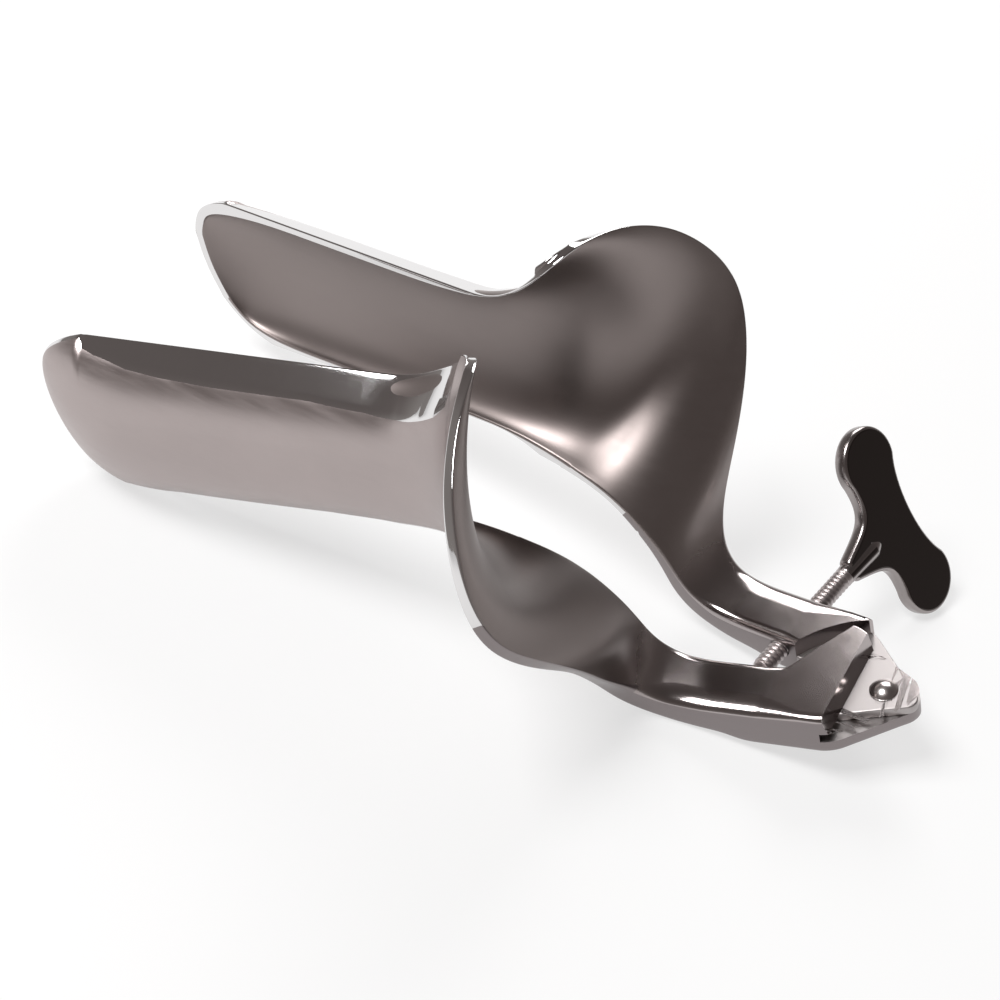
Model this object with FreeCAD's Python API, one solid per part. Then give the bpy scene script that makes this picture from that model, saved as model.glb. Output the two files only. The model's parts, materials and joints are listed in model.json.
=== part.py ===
import FreeCAD, Part
import os
from math import cos, radians, sin, sqrt, tan

# Bivalve speculum with one rivet and a wing screw, in millimetres.
# Working frame: the rivet axis is Z and the upper face of the tongue is at height 0.
# Each valve is modelled closed, on its own side of the parting plane. A point is
# given as reach, the distance from the rivet axis towards the blade tips, side, the
# distance out from the parting plane, and height.

# Blades
tip_reach = 162.2
blade_height = 35.8
blade_depth = 10.6
blade_axis_height = 55.7
blade_axis_at = 105.0
blade_rise = 0.085
tip_length = 16.0
tip_fullness = 2.55
tip_widening = 0.6
depth_taper = 26.0
wall = 2.0
valve_gap = 0.15

# Polished lands ground along both rims of a blade
blade_flare = 0.027
flare_from = 100.0
land_tilt = 30.0
land_stock = 2.0
land_width = 9.5
land_runout_from = 82.0
land_runout = 11.0
land_runout_rise = 7.5

# Bell and neck. The bell's sections are drawn for the drawn side and top.
bell_side = 43.5
bell_top = 80.0
drawn_side = 43.5
drawn_top = 80.0
neck_thickness = 3.0

# Arms and lapped hinge
arm_width = 12.4
arm_thickness = 6.8
hinge_thickness = 9.1
arm_root_reach = 19.4
arm_overlap = 1.6
cheek_thickness = 4.0
tongue_thickness = 2.0
lap_clearance = 0.05
nose_reach = 6.8
nose_side = 6.9
nose_half_angle = 36.0
nose_corner_radius = 8.0
tongue_nose_reach = 6.6
tongue_nose_side = 5.9
tongue_radius = 15.2
tongue_clearance = 0.3
cheek_end_reach = 17.9
cheek_end_turn = 50.0
shoulder_start = 18.3
shoulder_middle = (14.6, 6.3)
shoulder_end = (8.9, 11.2)
cheek_face_reach = 5.4
cheek_face_lean = 1.05
cheek_face_turn = 10.5
outer_bevel = 1.2

# Rivet
rivet_radius = 1.6
rivet_fit = 0.04
rivet_head_radius = 2.65
rivet_head_height = 1.3
rivet_foot_radius = 2.4
rivet_foot_depth = 0.8

# Wing screw
screw_radius = 2.0
screw_fit = 0.05
screw_reach = 22.7
screw_height = 0.6
screw_lean = 3.7
screw_tip_gap = 0.7
thread_length = 29.0
screw_point = 0.7
wing_thickness = 3.2
wing_lobe_radius = 6.3
wing_lobe_offset = 15.9
wing_stand = 19.3
wing_stem_radius = 2.3
wing_stem_length = 9.0
wing_waist = 5.0
wing_turn = 22.3

# Pose: half of the angle between the valves, and how the instrument lies on a table,
# on the wing's lower lobe, the near neck and the near blade's tip
half_opening = 9.02
rest_pitch = 19.85
rest_roll = 8.02

arm_top = cheek_thickness
hinge_bottom = arm_top - hinge_thickness
parting = valve_gap / 2
opening = 2 * half_opening


def vec(reach, side, height):
    return FreeCAD.Vector(-reach, side, height)


def axis_height(reach):
    """Height of a blade's centre line."""
    return blade_axis_height + blade_rise * (reach - blade_axis_at)


def half_height(reach):
    """Half of a blade's height at its lands, which grows towards the tip."""
    return blade_height / 2 + blade_flare * (reach - flare_from)


def depth_at(reach):
    """Depth of a blade, which runs out towards the tip."""
    into = min(1.0, max(0.0, (reach - tip_reach + depth_taper) / depth_taper))
    return blade_depth * (1.0 - into ** 2.2) ** 0.62


class Station:
    """One section of a valve's sheet, from its parting edge to its outer edge."""

    def __init__(self, edge, rim, middle, fullness, inside, outside, stock=(0.0, 0.0)):
        self.edge, self.rim, self.middle = edge, rim, middle
        self.fullness, self.inside, self.outside, self.stock = fullness, inside, outside, stock

    def poles(self):
        """Seven poles of a smooth curve: a half ellipse when full, a flat arc when not."""
        full_along = (0.0, 0.0, 0.125, 0.5, 0.875, 1.0, 1.0)
        full_out = (0.0, 0.3, 0.8, 1.1, 0.8, 0.3, 0.0)
        flat_along = (0.0, 0.14, 0.325, 0.5, 0.675, 0.86, 1.0)
        flat_out = (0.0, 0.45, 0.95, 1.1, 0.95, 0.45, 0.0)
        bulge = [self.middle[i] - (self.edge[i] + self.rim[i]) / 2 for i in range(3)]
        rows = []
        for k in range(7):
            along = self.fullness * full_along[k] + (1 - self.fullness) * flat_along[k]
            out = self.fullness * full_out[k] + (1 - self.fullness) * flat_out[k]
            rows.append([self.edge[i] + along * (self.rim[i] - self.edge[i]) + out * bulge[i]
                         for i in range(3)])
        return rows


def tip_station(turn, lead, stock):
    """A section at one angle of the rounded end's superellipse outline."""
    run = tip_length * cos(radians(turn)) ** (2 / tip_fullness)
    reach = tip_reach - tip_length + run
    half = (blade_height / 2 + tip_widening) * sin(radians(turn)) ** (2 / tip_fullness) + stock
    middle = axis_height(reach) - 0.5
    crown = tip_reach if lead is None else reach + lead
    depth = 0.0 if lead is None else depth_at(crown)
    fullness = 0.0 if lead is None else 1.0
    return Station((reach, 0, middle - half), (reach, 0, middle + half), (crown, depth, middle),
                   fullness, wall, 0.0, (stock, stock))


def blade_station(reach):
    half = half_height(reach) + land_stock
    middle = axis_height(reach)
    return Station((reach, 0, middle - half), (reach, 0, middle + half),
                   (reach, blade_depth, middle), 1.0, wall, 0.0, (land_stock, land_stock))


def bell_station(edge, rim, middle, fullness, inside, outside, stock=(0.0, 0.0)):
    """A section of the bell or neck, stretched with the bell's side and top."""
    side, rise = bell_side / drawn_side, bell_top / drawn_top
    return Station((edge[0], 0, edge[1] * rise), (rim[0], rim[1] * side, rim[2] * rise),
                   (middle[0], middle[1] * side, middle[2] * rise),
                   fullness, inside, outside, stock)


def arm_station(reach, thickness):
    return Station((reach, 0, arm_top), (reach, arm_width, arm_top),
                   (reach, arm_width / 2, arm_top), 0.0, 0.0, thickness)


def valve_stations():
    rows = [tip_station(24.0, None, 0.0), tip_station(42.0, 1.9, 0.0),
            tip_station(62.0, 0.9, 0.3), tip_station(90.0, 0.0, 1.4)]
    rows += [blade_station(reach) for reach in (134.0, 120.0, 105.0, 92.0)]
    rows += [
        bell_station((80, 34.0), (80.0, 0.0, 73.6), (79.5, 10.8, 54), 1.0, wall, 0, (1.6, 2)),
        bell_station((73, 32.6), (72.5, 0.0, 74.2), (73.5, 12.4, 54), 1.0, wall, 0, (1.0, 1)),
        bell_station((68, 31.2), (66.5, 0.3, 76.0), (67.5, 16.0, 54), 0.95, wall, 0, (0.5, 0.4)),
        bell_station((64.5, 30.0), (61.0, 3.5, 80.0), (62.3, 21.5, 53.0), 0.8, wall, 0),
        bell_station((62, 28.8), (59.8, 10.0, 79.8), (59.0, 26.0, 52.0), 0.7, wall, 0),
        bell_station((60, 27.6), (59.6, 20.6, 76.0), (56.6, 29.0, 50.0), 0.55, wall, 0),
        bell_station((58, 26.3), (57.6, 32.5, 69.8), (54.5, 30.5, 46.5), 0.4, wall, 0),
        bell_station((56, 24.6), (54.5, 41.4, 58.8), (52.3, 29.0, 41.0), 0.3, wall, 0.1),
        bell_station((53.8, 22.5), (50.9, 43.5, 48.5), (50.3, 26.0, 35.0), 0.2, wall, 0.2),
        bell_station((51, 19.3), (46.5, 36.0, 38.0), (47.6, 19.5, 27.0), 0.1, 1.8, 0.6),
        bell_station((48.4, 15.8), (45.8, 27.5, 28.0), (46.2, 14.0, 20.5), 0.0, 1.6, 1.1),
        bell_station((46, 11.8), (45.9, 21.5, 19.0), (45.8, 11.0, 15.0), 0.0, 1.2, 1.8),
        bell_station((44, 8.6), (45.0, 17.6, 13.4), (44.3, 9.2, 10.7), 0.0, 0.8, neck_thickness),
        bell_station((41.2, 6.2), (42.8, 14.4, 8.3), (42.0, 7.5, 6.9), 0.0, 0.4, 4.5),
        bell_station((37, 4.6), (38.5, 12.6, 5.2), (37.8, 6.5, 4.8), 0.0, 0.1, 5.9),
    ]
    arm = ((32.0, arm_thickness), (28.0, arm_thickness + 0.6), (24.5, hinge_thickness),
           (21.0, hinge_thickness), (17.5, hinge_thickness), (14.0, hinge_thickness))
    return rows + [arm_station(reach, thickness) for reach, thickness in arm]


def unit(a):
    size = sqrt(sum(c * c for c in a))
    return [c / size for c in a]


def cross(a, b):
    return [a[1] * b[2] - a[2] * b[1], a[2] * b[0] - a[0] * b[2], a[0] * b[1] - a[1] * b[0]]


def outward(net, i, k):
    """The sheet's outward direction at one pole, kept in the parting plane on its edge."""
    rows, last = len(net), len(net[0]) - 1
    before, after = net[max(i - 1, 0)][k], net[min(i + 1, rows - 1)][k]
    low, high = net[i][max(k - 1, 0)], net[i][min(k + 1, last)]
    along = [after[c] - before[c] for c in range(3)]
    across = [high[c] - low[c] for c in range(3)]
    if i == 0:
        return unit([across[2], 0, -across[0]])
    normal = cross(along, across)
    if k == 0:
        return unit([-along[2], 0, along[0]])
    if k == last:
        share = min(1.0, net[i][k][1] / 6.0)
        flat = unit([along[2], 0, -along[0]])
        normal = unit(normal) if share > 0 else flat
        return unit([flat[c] + share * (normal[c] - flat[c]) for c in range(3)])
    return unit(normal)


def offset_poles(net, stations, i, inside):
    """Poles of the concave face (inside) or of the convex face of one section."""
    station = stations[i]
    low, high = station.stock
    extra = (low, low, 0.35 * low, 0, 0.35 * high, high, high)
    poles = []
    for k in range(7):
        direction = outward(net, i, k)
        move = -(station.inside + extra[k]) if inside else station.outside
        poles.append(vec(*[net[i][k][c] + move * direction[c] for c in range(3)]))
    return poles


def clamped(count, degree):
    """Multiplicities and knots of an even curve that ends on its end poles."""
    spans = count - degree
    return [degree + 1] + [1] * (spans - 1) + [degree + 1], [float(k) for k in range(spans + 1)]


def skin(rows):
    """A smooth face steered by a net of poles, or a ruled face between two rows."""
    surface = Part.BSplineSurface()
    degree_u, degree_v = min(3, len(rows) - 1), min(3, len(rows[0]) - 1)
    (mults_u, knots_u), (mults_v, knots_v) = (clamped(len(rows), degree_u),
                                              clamped(len(rows[0]), degree_v))
    surface.buildFromPolesMultsKnots(rows, mults_u, mults_v, knots_u, knots_v,
                                     False, False, degree_u, degree_v)
    return surface.toShape()


def box(reach, side, height):
    """A box between two reaches, two sides and two heights."""
    corner = vec(reach[1], side[0], height[0])
    return Part.makeBox(reach[1] - reach[0], side[1] - side[0], height[1] - height[0], corner)


def disc(radius, low, high):
    return Part.makeCylinder(radius, high - low, FreeCAD.Vector(0, 0, low))


def land_cutter(lower):
    """Stock beyond a rim's ground land: straight along the blade, with a run-out at the bell."""
    def rim(reach):
        return axis_height(reach) + half_height(reach)
    beyond, clear = tip_reach + 8.0, 4.0
    start = vec(land_runout_from, 0, rim(land_runout_from))
    turn = start + vec(-0.6 * land_runout, 0, 0.25 * land_runout_rise)
    end = start + vec(-land_runout, 0, land_runout_rise)
    far = vec(beyond, 0, rim(beyond))
    up = FreeCAD.Vector(0, 0, 30)
    edges = [Part.makeLine(far, start), Part.Arc(start, turn, end).toShape(),
             Part.makeLine(end, end + up), Part.makeLine(end + up, far + up),
             Part.makeLine(far + up, far)]
    profile = Part.Face(Part.Wire(edges))
    slope = tan(radians(land_tilt))
    profile.translate(FreeCAD.Vector(0, -clear, clear * slope))
    span = clear + land_width
    cutter = profile.extrude(FreeCAD.Vector(0, span, -span * slope))
    if not lower:
        return cutter
    centre = vec(blade_axis_at, 0, axis_height(blade_axis_at))
    return cutter.mirror(centre, FreeCAD.Vector(blade_rise, 0, 1))


def valve_sheet():
    """Blade, bell, neck and arm: one forging between a convex and a concave face."""
    stations = valve_stations()
    net = [station.poles() for station in stations]
    convex = [offset_poles(net, stations, i, False) for i in range(len(stations))]
    concave = [offset_poles(net, stations, i, True) for i in range(len(stations))]
    faces = [skin(convex), skin(concave)]
    for pick in (lambda rows: rows[0], lambda rows: rows[-1],
                 lambda rows: [row[0] for row in rows], lambda rows: [row[-1] for row in rows]):
        faces.append(skin([pick(convex), pick(concave)]))
    shell = Part.Shell(faces)
    shell.sewShape()
    sheet = Part.Solid(shell)
    if sheet.Volume < 0:
        sheet.reverse()
    return sheet


def own_side(shape):
    return shape.common(box((-60, 260), (parting, 120), (-60, 160)))


def hinge_region():
    """What the near valve's hinge may fill: its own side, and a slanted end across from it."""
    turn = radians(cheek_end_turn)
    far_out = 60.0
    across = vec(cheek_end_reach - far_out * cos(turn), -far_out * sin(turn), -60)
    points = [vec(cheek_end_reach, parting, -60), across, vec(-far_out, -far_out, -60),
              vec(-far_out, far_out, -60), vec(far_out, far_out, -60), vec(far_out, parting, -60)]
    return Part.Face(Part.makePolygon(points + points[:1])).extrude(FreeCAD.Vector(0, 0, 120))


def shoulder_cutter():
    """What the far bar leaves free for the near valve's cheeks."""
    low, out = -60, 60
    a, b = vec(shoulder_start, 0, low), vec(*shoulder_middle, low)
    c, d = vec(*shoulder_end, low), vec(shoulder_end[0] - 6.0, out, low)
    corners = [c, d, vec(-out, out, low), vec(-out, -out, low), vec(shoulder_start, -out, low), a]
    edges = [Part.Arc(a, b, c).toShape()]
    edges += [Part.makeLine(p, q) for p, q in zip(corners, corners[1:])]
    return Part.Face(Part.Wire(edges)).extrude(FreeCAD.Vector(0, 0, 120))


def hinge_block(nose, side):
    """The closed hinge end, both halves, bevelled: straight sides to a round nose.

    The sides are given by their distance from the parting plane at the rivet.
    """
    turn = radians(nose_half_angle)
    slope, low = tan(turn), hinge_bottom
    radius = (side - slope * nose) * cos(turn) / (1 - sin(turn))
    start, lift = radius - nose - radius * sin(turn), radius * cos(turn)
    corner, ease = (arm_width - side) / slope, nose_corner_radius * tan(turn / 2)
    root = arm_root_reach + arm_overlap
    middle = (corner + ease - nose_corner_radius * sin(turn / 2),
              arm_width - nose_corner_radius * (1 - cos(turn / 2)))
    taper = (corner - ease * cos(turn), arm_width - ease * sin(turn))
    edges = []
    for s in (1, -1):
        edges += [Part.makeLine(vec(root, s * arm_width, low), vec(corner + ease, s * arm_width, low)),
                  Part.Arc(vec(corner + ease, s * arm_width, low), vec(middle[0], s * middle[1], low),
                           vec(taper[0], s * taper[1], low)).toShape(),
                  Part.makeLine(vec(taper[0], s * taper[1], low), vec(start, s * lift, low))]
    edges.append(Part.Arc(vec(start, lift, low), vec(-nose, 0, low), vec(start, -lift, low)).toShape())
    edges.append(Part.makeLine(vec(root, arm_width, low), vec(root, -arm_width, low)))
    outline = Part.Wire(Part.__sortEdges__(edges))
    block = Part.Face(outline).extrude(FreeCAD.Vector(0, 0, hinge_thickness))
    bevelled = [edge for edge in block.Edges
                if edge.BoundBox.ZLength < 1e-6 and edge.BoundBox.XMax > -root + 1e-3]
    return block.makeChamfer(outer_bevel, bevelled)


def slice_of(block, low, high):
    return block.common(box((-60, 60), (-60, 60), (low, high)))


def rivet_foot():
    """The rivet's lower end, peened flush into a countersink."""
    return Part.makeCone(rivet_foot_radius, rivet_radius, rivet_foot_depth,
                         FreeCAD.Vector(0, 0, hinge_bottom))


def near_hinge():
    """Fork: a lower cheek to the nose, and an upper cheek cut back from the rivet."""
    block = hinge_block(nose_reach, nose_side)
    slot_low, slot_high = -tongue_thickness - lap_clearance, lap_clearance
    low_cheek = slice_of(block, hinge_bottom, slot_low)
    top_cheek = slice_of(block, slot_high, arm_top)
    cheeks = low_cheek.fuse(top_cheek).common(hinge_region())
    bar = own_side(block).cut(disc(tongue_radius + tongue_clearance, slot_low, slot_high))
    fork = bar.fuse(cheeks)
    rise = arm_top - slot_high
    steep = cheek_face_lean / rise
    points = [vec(cheek_face_reach, -40, slot_high),
              vec(cheek_face_reach + 2 * rise * steep, -40, slot_high + 2 * rise),
              vec(-40, -40, slot_high + 2 * rise), vec(-40, -40, slot_high)]
    clearing = Part.Face(Part.makePolygon(points + points[:1])).extrude(FreeCAD.Vector(0, 80, 0))
    clearing.rotate(FreeCAD.Vector(), FreeCAD.Vector(0, 0, 1), cheek_face_turn)
    return fork.cut(clearing).cut(disc(rivet_radius, -20, 20)).cut(rivet_foot())


def far_hinge():
    """Tongue between the cheeks, and a shoulder that follows them round the rivet."""
    bar = own_side(hinge_block(nose_reach, nose_side)).cut(shoulder_cutter())
    plate = slice_of(hinge_block(tongue_nose_reach, tongue_nose_side), -tongue_thickness, 0.0)
    across = box((-60, 60), (-60, parting), (-60, 60)).cut(disc(tongue_radius, -60, 60))
    return bar.fuse(plate.cut(across)).cut(disc(rivet_radius + rivet_fit, -20, 20))


def valve(hinge, bore):
    """One whole valve, closed: the sheet with its ground lands, and its half of the hinge."""
    sheet = own_side(valve_sheet().cut(bore))
    sheet = sheet.cut(land_cutter(False)).cut(land_cutter(True))
    return sheet.fuse(hinge)


def dome(radius, height, base):
    """A shallow dome on a flat base."""
    ball = (radius ** 2 + height ** 2) / (2 * height)
    ball_shape = Part.makeSphere(ball, FreeCAD.Vector(0, 0, base + height - ball))
    return ball_shape.common(disc(radius, base, base + height))


def hinge_rivet():
    shank = disc(rivet_radius, hinge_bottom, rivet_fit)
    head = dome(rivet_head_radius, rivet_head_height, rivet_fit)
    return shank.fuse([head, rivet_foot()]).removeSplitter()


def screw_frame(shape):
    """Place a shape made along +Z from the screw's point onto the screw's axis."""
    shape.rotate(FreeCAD.Vector(), FreeCAD.Vector(1, 0, 0), -90)
    shape.rotate(FreeCAD.Vector(), FreeCAD.Vector(0, 0, 1), -screw_lean)
    near_face = -screw_reach * tan(radians(opening))
    tip = near_face + (screw_tip_gap + parting) / cos(radians(opening))
    shape.translate(vec(screw_reach, tip, screw_height))
    return shape


def screw_bore():
    bore = Part.makeCylinder(screw_radius + screw_fit, 60, FreeCAD.Vector(0, 0, -10))
    return screw_frame(bore)


def screw_spindle():
    shank = Part.makeCylinder(screw_radius, thread_length - screw_point,
                              FreeCAD.Vector(0, 0, screw_point))
    point = Part.makeCone(screw_radius - screw_point, screw_radius, screw_point)
    return screw_frame(shank.fuse(point).removeSplitter())


def screw_wing():
    """Flat two-lobed wing on a tapered stem."""
    lobe_at = thread_length + wing_stand
    half = wing_thickness / 2

    def slab(face):
        return face.extrude(FreeCAD.Vector(0, wing_thickness, 0))

    def lobe(sign):
        circle = Part.Circle(FreeCAD.Vector(sign * wing_lobe_offset, -half, lobe_at),
                             FreeCAD.Vector(0, 1, 0), wing_lobe_radius)
        return slab(Part.Face(Part.Wire(circle.toShape())))

    def point(x, z):
        return FreeCAD.Vector(x, -half, z)
    out, r = wing_lobe_offset, wing_lobe_radius
    neck = thread_length + wing_stem_length
    outer = Part.Arc(point(-out + 1.0, lobe_at + r), point(0, lobe_at + wing_waist - 1.5),
                     point(out - 1.0, lobe_at + r)).toShape()
    right = Part.Arc(point(out - 1.0, lobe_at - r), point(6.2, lobe_at - r - 1.0),
                     point(wing_stem_radius, neck - 4.0)).toShape()
    left = Part.Arc(point(-wing_stem_radius, neck - 4.0), point(-6.2, lobe_at - r - 1.0),
                    point(-out + 1.0, lobe_at - r)).toShape()
    wire = Part.Wire([outer, Part.makeLine(point(out - 1.0, lobe_at + r),
                                           point(out - 1.0, lobe_at - r)), right,
                      Part.makeLine(point(wing_stem_radius, neck - 4.0),
                                    point(-wing_stem_radius, neck - 4.0)), left,
                      Part.makeLine(point(-out + 1.0, lobe_at - r),
                                    point(-out + 1.0, lobe_at + r))])
    body = slab(Part.Face(wire)).fuse([lobe(1), lobe(-1)]).removeSplitter()
    stem = Part.makeCone(screw_radius, wing_stem_radius, wing_stem_length,
                         FreeCAD.Vector(0, 0, thread_length))
    wing = body.fuse(stem)
    wing.rotate(FreeCAD.Vector(), FreeCAD.Vector(0, 0, 1), 90 - wing_turn)
    return screw_frame(wing)


def swing_near(shape):
    """Open the near half and mirror it to the near side."""
    shape = shape.mirror(FreeCAD.Vector(), FreeCAD.Vector(0, 1, 0))
    shape.rotate(FreeCAD.Vector(), FreeCAD.Vector(0, 0, 1), half_opening)
    return shape


def swing_far(shape):
    shape.rotate(FreeCAD.Vector(), FreeCAD.Vector(0, 0, 1), -half_opening)
    return shape


def lay_down(pieces):
    """Turn the instrument as it lies on a table, with the origin below its middle."""
    for shape in pieces.values():
        shape.rotate(FreeCAD.Vector(), FreeCAD.Vector(0, 1, 0), -rest_pitch)
        shape.rotate(FreeCAD.Vector(), FreeCAD.Vector(1, 0, 0), rest_roll)
    whole = Part.makeCompound(list(pieces.values())).optimalBoundingBox(False, False)
    shift = FreeCAD.Vector(-whole.Center.x, -whole.Center.y, -whole.ZMin)
    for shape in pieces.values():
        shape.translate(shift)
    return shift


def main():
    os.makedirs("parts", exist_ok=True)
    root = disc(arm_root_reach, -30, 30)
    pieces = {
        "near_valve": swing_near(valve(near_hinge(), root)),
        "far_valve": swing_far(valve(far_hinge(), root).cut(screw_bore())),
        "hinge_rivet": hinge_rivet(),
        "screw_spindle": swing_far(screw_spindle()),
        "screw_wing": swing_far(screw_wing()),
    }
    print("The rivet's axis crosses the tongue's face at", lay_down(pieces))
    for name, shape in pieces.items():
        print(name, "valid", shape.isValid(), "solids", len(shape.Solids),
              "volume", round(shape.Volume, 1))
        shape.exportStep("parts/" + name + ".step")


main()
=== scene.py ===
"""A bivalve speculum dressed for rendering: two forged valves on a lapped hinge, with a wing screw.

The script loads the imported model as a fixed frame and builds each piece's finished mesh in it.
A valve is described closed, by reach (from the rivet towards the blade tips), side (out from the
parting plane) and height (along the rivet), all in millimetres.
"""
import json
import logging
import math
from dataclasses import dataclass
from enum import Enum
from typing import Iterable, Sequence, Union

import bmesh
import bpy
import numpy as np
from mathutils import Matrix, Vector


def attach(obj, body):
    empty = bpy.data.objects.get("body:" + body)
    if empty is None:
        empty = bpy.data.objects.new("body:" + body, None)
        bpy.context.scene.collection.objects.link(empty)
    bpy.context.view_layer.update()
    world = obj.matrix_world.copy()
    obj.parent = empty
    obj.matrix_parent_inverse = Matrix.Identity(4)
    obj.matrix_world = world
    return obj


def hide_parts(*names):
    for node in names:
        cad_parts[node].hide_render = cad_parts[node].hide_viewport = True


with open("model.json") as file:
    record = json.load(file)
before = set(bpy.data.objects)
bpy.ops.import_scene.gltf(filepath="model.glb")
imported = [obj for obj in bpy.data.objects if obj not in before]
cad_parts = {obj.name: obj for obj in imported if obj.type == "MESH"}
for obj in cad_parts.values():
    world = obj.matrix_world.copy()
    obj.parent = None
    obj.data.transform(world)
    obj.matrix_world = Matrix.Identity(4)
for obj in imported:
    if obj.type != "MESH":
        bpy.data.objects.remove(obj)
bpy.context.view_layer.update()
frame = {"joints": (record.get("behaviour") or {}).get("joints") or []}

MM = 0.001
IMAGE_PIXELS = 1000.0
SENSOR_MM = 36.0
HALF_OPENING = math.radians(9.02)
SCREW_LEAN = math.radians(3.7)
DEGREE = 3
ACROSS_POLES = 7
CIRCLE_POINTS = 48
LEVEL = 0.9995
MOST_TRIM = 0.45

log = logging.getLogger("speculum")


class Half(Enum):
    """Which of the two mirrored halves of the instrument a piece belongs to."""

    NEAR = -1
    FAR = 1


class Finish(Enum):
    """The finishes that a valve carries, in the order of its material slots."""

    WEB = 0
    LAND = 1
    BELL = 2
    ARM = 3
    SIDE = 4
    LAP = 5


class HingeFrame:
    """The instrument's own axes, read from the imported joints."""

    def __init__(self, joints: Sequence[dict]) -> None:
        """Find the rivet and both halves' directions.

        Args:
            joints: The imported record's joints.
        """
        by_name = {joint["name"]: joint for joint in joints}
        hinge, screw = by_name["valve_opening"], by_name["wing_turn"]
        self.rivet = Vector(hinge["pos_m"])
        self.up = -Vector(hinge["axis"]).normalized()
        screw_way = -Vector(screw["axis"]).normalized()
        far_side = Matrix.Rotation(SCREW_LEAN, 3, self.up) @ screw_way
        middle = Matrix.Rotation(HALF_OPENING, 3, self.up) @ far_side
        self.middle_side = middle
        self.sides = {
            Half.FAR: far_side,
            Half.NEAR: Matrix.Rotation(HALF_OPENING, 3, self.up) @ middle,
        }

    def reach_way(self, side: Vector) -> Vector:
        """The direction from the rivet to the blade tips, at right angles to a side."""
        return self.up.cross(side)

    def placing(self, half: Half) -> Matrix:
        """The matrix from a closed half's millimetres to the frame.

        Args:
            half: The half whose reach, side and height are placed.

        Returns:
            A 4 by 4 matrix.
        """
        side = self.sides[half]
        columns = (self.reach_way(side) * MM, side * (half.value * MM), self.up * MM)
        turn = Matrix(columns).transposed().to_4x4()
        return Matrix.Translation(self.rivet) @ turn

    def middle_placing(self) -> Matrix:
        """The matrix from the camera's hinge axes, X towards the user, to the frame.

        Returns:
            A 4 by 4 matrix.
        """
        side = self.middle_side
        columns = (-self.reach_way(side) * MM, side * MM, self.up * MM)
        return Matrix.Translation(self.rivet) @ Matrix(columns).transposed().to_4x4()


def clamped_basis(count: int, degree: int, at: np.ndarray) -> np.ndarray:
    """Weights of an even curve's poles that ends on its end poles.

    Args:
        count: How many poles there are.
        degree: The curve's degree.
        at: Places along the curve, from 0 to 1.

    Returns:
        One row of weights for each place.
    """
    spans = count - degree
    knots = np.concatenate([np.zeros(degree), np.arange(spans + 1), np.full(degree, spans)])
    x = np.clip(at * spans, 0.0, spans - 1e-9)
    weights = np.array([(knots[i] <= x) & (x < knots[i + 1]) for i in range(len(knots) - 1)], float)
    for d in range(1, degree + 1):
        rows = []
        for i in range(len(knots) - 1 - d):
            left, right = knots[i + d] - knots[i], knots[i + d + 1] - knots[i + 1]
            row = np.zeros_like(x)
            if left > 0:
                row += (x - knots[i]) / left * weights[i]
            if right > 0:
                row += (knots[i + d + 1] - x) / right * weights[i + 1]
            rows.append(row)
        weights = np.array(rows)
    return weights.T


@dataclass(frozen=True)
class Station:
    """One section of a valve's sheet, from its parting edge to its outer edge.

    Points are reach, side and height; fullness is 1 for a half ellipse and 0 for a flat arc.
    """

    edge: tuple[float, float, float]
    rim: tuple[float, float, float]
    middle: tuple[float, float, float]
    fullness: float
    inside: float
    outside: float
    stock: tuple[float, float] = (0.0, 0.0)

    def poles(self) -> np.ndarray:
        """Find the poles across the sheet.

        Returns:
            Seven points, from the parting edge to the rim.
        """
        full_along = np.array((0.0, 0.0, 0.125, 0.5, 0.875, 1.0, 1.0))
        full_out = np.array((0.0, 0.3, 0.8, 1.1, 0.8, 0.3, 0.0))
        flat_along = np.array((0.0, 0.14, 0.325, 0.5, 0.675, 0.86, 1.0))
        flat_out = np.array((0.0, 0.45, 0.95, 1.1, 0.95, 0.45, 0.0))
        along = self.fullness * full_along + (1 - self.fullness) * flat_along
        out = self.fullness * full_out + (1 - self.fullness) * flat_out
        edge, rim = np.array(self.edge), np.array(self.rim)
        bulge = np.array(self.middle) - (edge + rim) / 2
        return edge + np.outer(along, rim - edge) + np.outer(out, bulge)


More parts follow.
